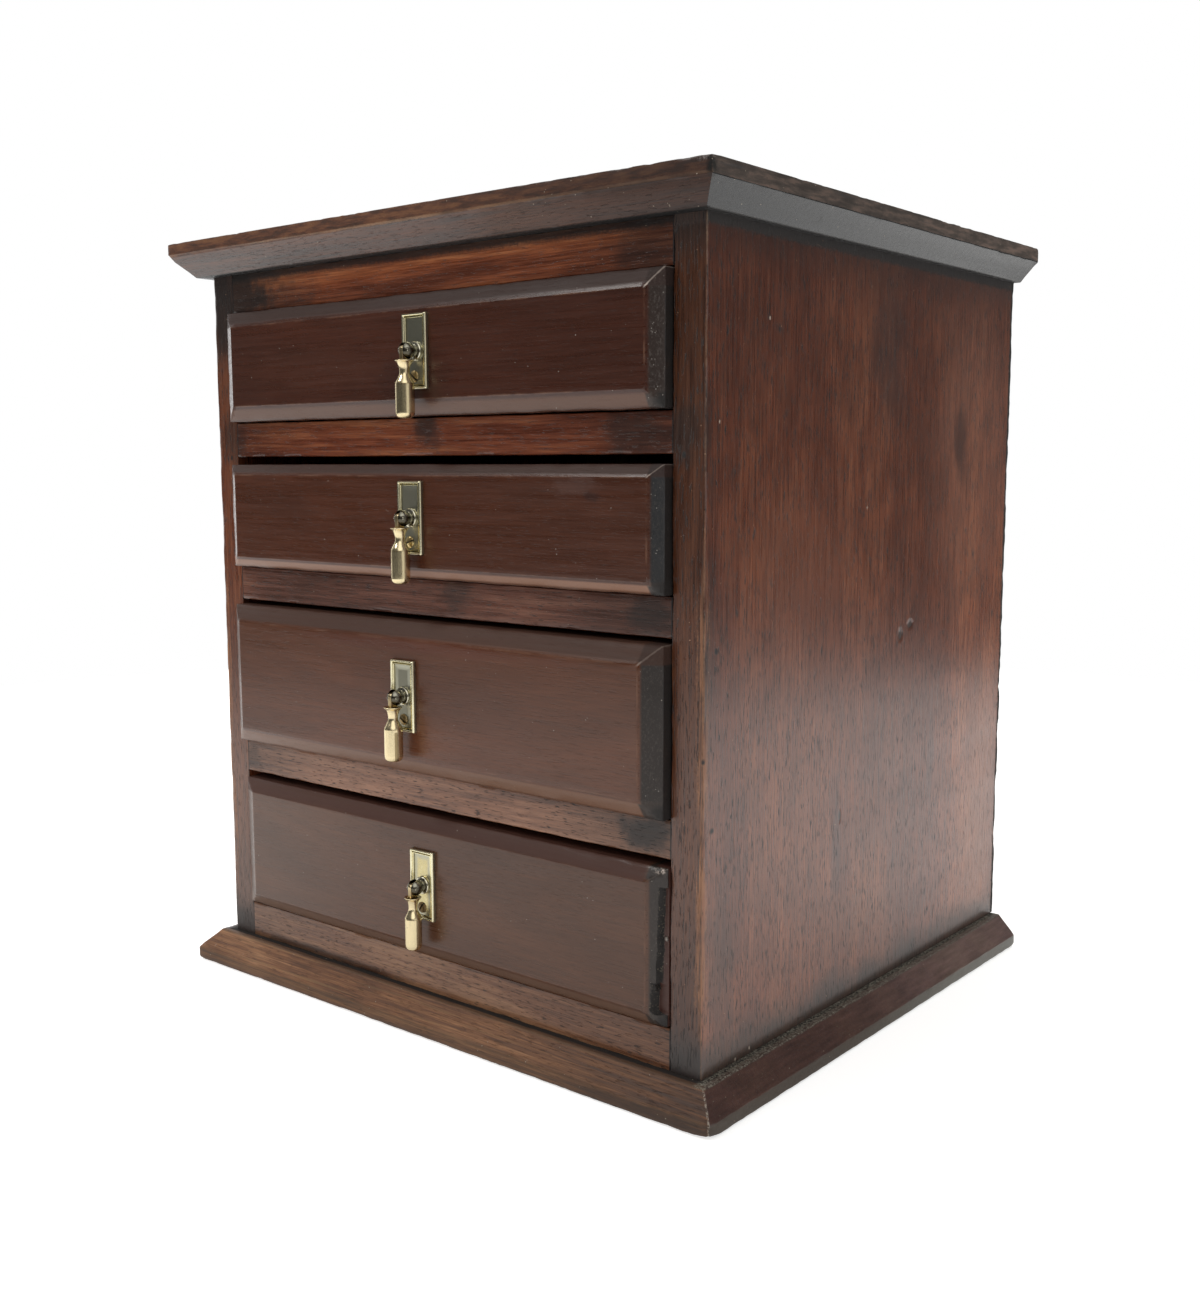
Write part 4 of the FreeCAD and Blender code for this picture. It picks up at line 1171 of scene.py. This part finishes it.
def screw_mesh(n, centre):
    """Round-head screw with its slot, below the boss."""
    turn, aside, glow = SCREWS[n]
    bm = mark(slotted_head(SCREW_RADIUS, SCREW_RISE, SCREW_SLOT, SLOT_DEPTH),
              lambda p: 0 if abs(p.x) < 0.46 and p.y > -0.45 else glow)
    bmesh.ops.rotate(bm, verts=bm.verts, cent=(0, 0, 0), matrix=rotation(turn, "Y").to_3x3())
    bmesh.ops.translate(bm, verts=bm.verts, vec=(centre + Vector((aside, -0.86, -SCREW_BELOW))) * MM)
    return bm


def drop_mesh(n, pin):
    """Turned drop pull, hanging from its flat tongue."""
    girth = FULLER if n < 4 else 1
    profile = [(t, min(r, PULL) * girth) for t, r in curve_through(DROP, 3)]
    outline = []
    for i in range(17):
        a = radians(180 * i / 16)
        outline.append((pin.y - 0.1 - 2.1 * cos(a), pin.z + 0.6 + 1.7 * sin(a)))
    outline += [(pin.y + 2, pin.z - 4.9), (pin.y - 2.2, pin.z - 4.9)]
    tongue = slab(outline, pin.x - 1.05, pin.x + 1.05, 0.35)

    def rubbed(p):
        around = hypot(p.x - pin.x, p.y - pin.y)
        if p.z > pin.z - 4.2:
            return 0.45
        turn = degrees(atan2(p.y - pin.y, p.x - pin.x))
        # one darker flank on the third drop: a painted reflection
        if n == 3 and p.z < pin.z - 15.5 and -36 < turn < -12 and around > 3.9:
            return 0.17         # one dark flank
        # dark top of the collar round the tongue: painted shadow under the boss
        return 0.06 if p.z > pin.z - 4.9 and around < 2.6 else 1

    return mark(merge(spin([(4.75, 0)] + profile, pin, (0, 0, -1), 64), tongue), rubbed)


def add_handle(n, looks):
    lo, hi = box_mm("handle%d_plate" % n)
    pin_lo, pin_hi = box_mm("handle%d_pin" % n)
    w, h = (hi[0] - lo[0]) / 2, (hi[2] - lo[2]) / 2
    centre = Vector(((lo[0] + hi[0]) / 2, hi[1], (lo[2] + hi[2]) / 2))
    pin = Vector((centre.x, (pin_lo[1] + pin_hi[1]) / 2, centre.z))

    def add(part, bm, look, nodes=(), smooth=35, body="drawer_%d", slot="aged_brass"):
        nodes = ["handle%d_%s" % (n, node) for node in nodes]
        piece("handle_%s_%d" % (part, n), bm, looks[look], body % n, nodes, smooth)

    plate = plate_mesh(w, h, PLATE_FIELDS[n])
    bmesh.ops.translate(plate, verts=plate.verts, vec=centre * MM)
    add("plate", plate, "plate", ["plate"], 28)
    add("boss", boss_mesh(centre), "boss", ["boss"])
    add("pin", pin_mesh(pin), "boss", ["pin"])
    add("screw", screw_mesh(n, centre), "screw")
    add("drop", drop_mesh(n, pin), "drop", ["pull"], body="pull_%d", slot="bright_brass")


# ---- everything put together ----
def dress():
    """Every piece and every carried-over node gets its finish."""
    for n in DRAWERS:
        add_front(n)
    add_side("right", 1, 2)
    add_side("left", -1, 5)
    rail_looks = {rail.name: add_rail(rail) for rail in RAILS}
    add_mouldings()
    brasses = {
        "plate": brass("plate_brass_look", (920, 860, 600), (460, 455, 365), 0.15, 0.28, 0.1, 0.9, 0.34,
                       0.4, (620, 530, 270)),
        "boss": brass("boss_brass_look", (720, 680, 540), (300, 290, 235), 0.14, 0.19, 0.25, 0.9, 0.25, 0.2),
        "screw": brass("screw_brass_look", (720, 560, 270), (200, 135, 75), 0.3, 0.42, 0.2, 1, 0.3, 0.4),
        "drop": brass("bright_brass_look", (880, 740, 460), (360, 270, 140), 0.17, 0.28, 0.15, 0.75, 0.35)}
    for n in DRAWERS:
        add_handle(n, brasses)

    drawer_woods = {
        "side_left": lining("drawer_side_wood_l", "y", 51, PALE),
        "side_right": lining("drawer_side_wood_r", "y", 57, PALE),
        "back": lining("drawer_back_wood", "x", 53, PALE),
        "bottom": lining("drawer_bottom_wood", "x", 59, PALE)}
    runner = lining("runner_wood", "y", 61, OLD)
    back = lining("back_board_wood", "z", 67, OLD)
    for name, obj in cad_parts.items():
        if name.startswith("drawer") and not name.endswith("front"):
            look = drawer_woods[name.split("_", 1)[1]]
        elif name.startswith("runner"):
            look = runner
        elif name == "back_board":
            look = back
        elif name.startswith("handle"):
            look = brasses["boss"]
        else:
            look = rail_looks["rail_1"]         # these are hidden behind the pieces that replace them
        obj.data.materials.clear()
        obj.data.materials.append(look)


make_camera()
make_light()
make_floor()
dress()
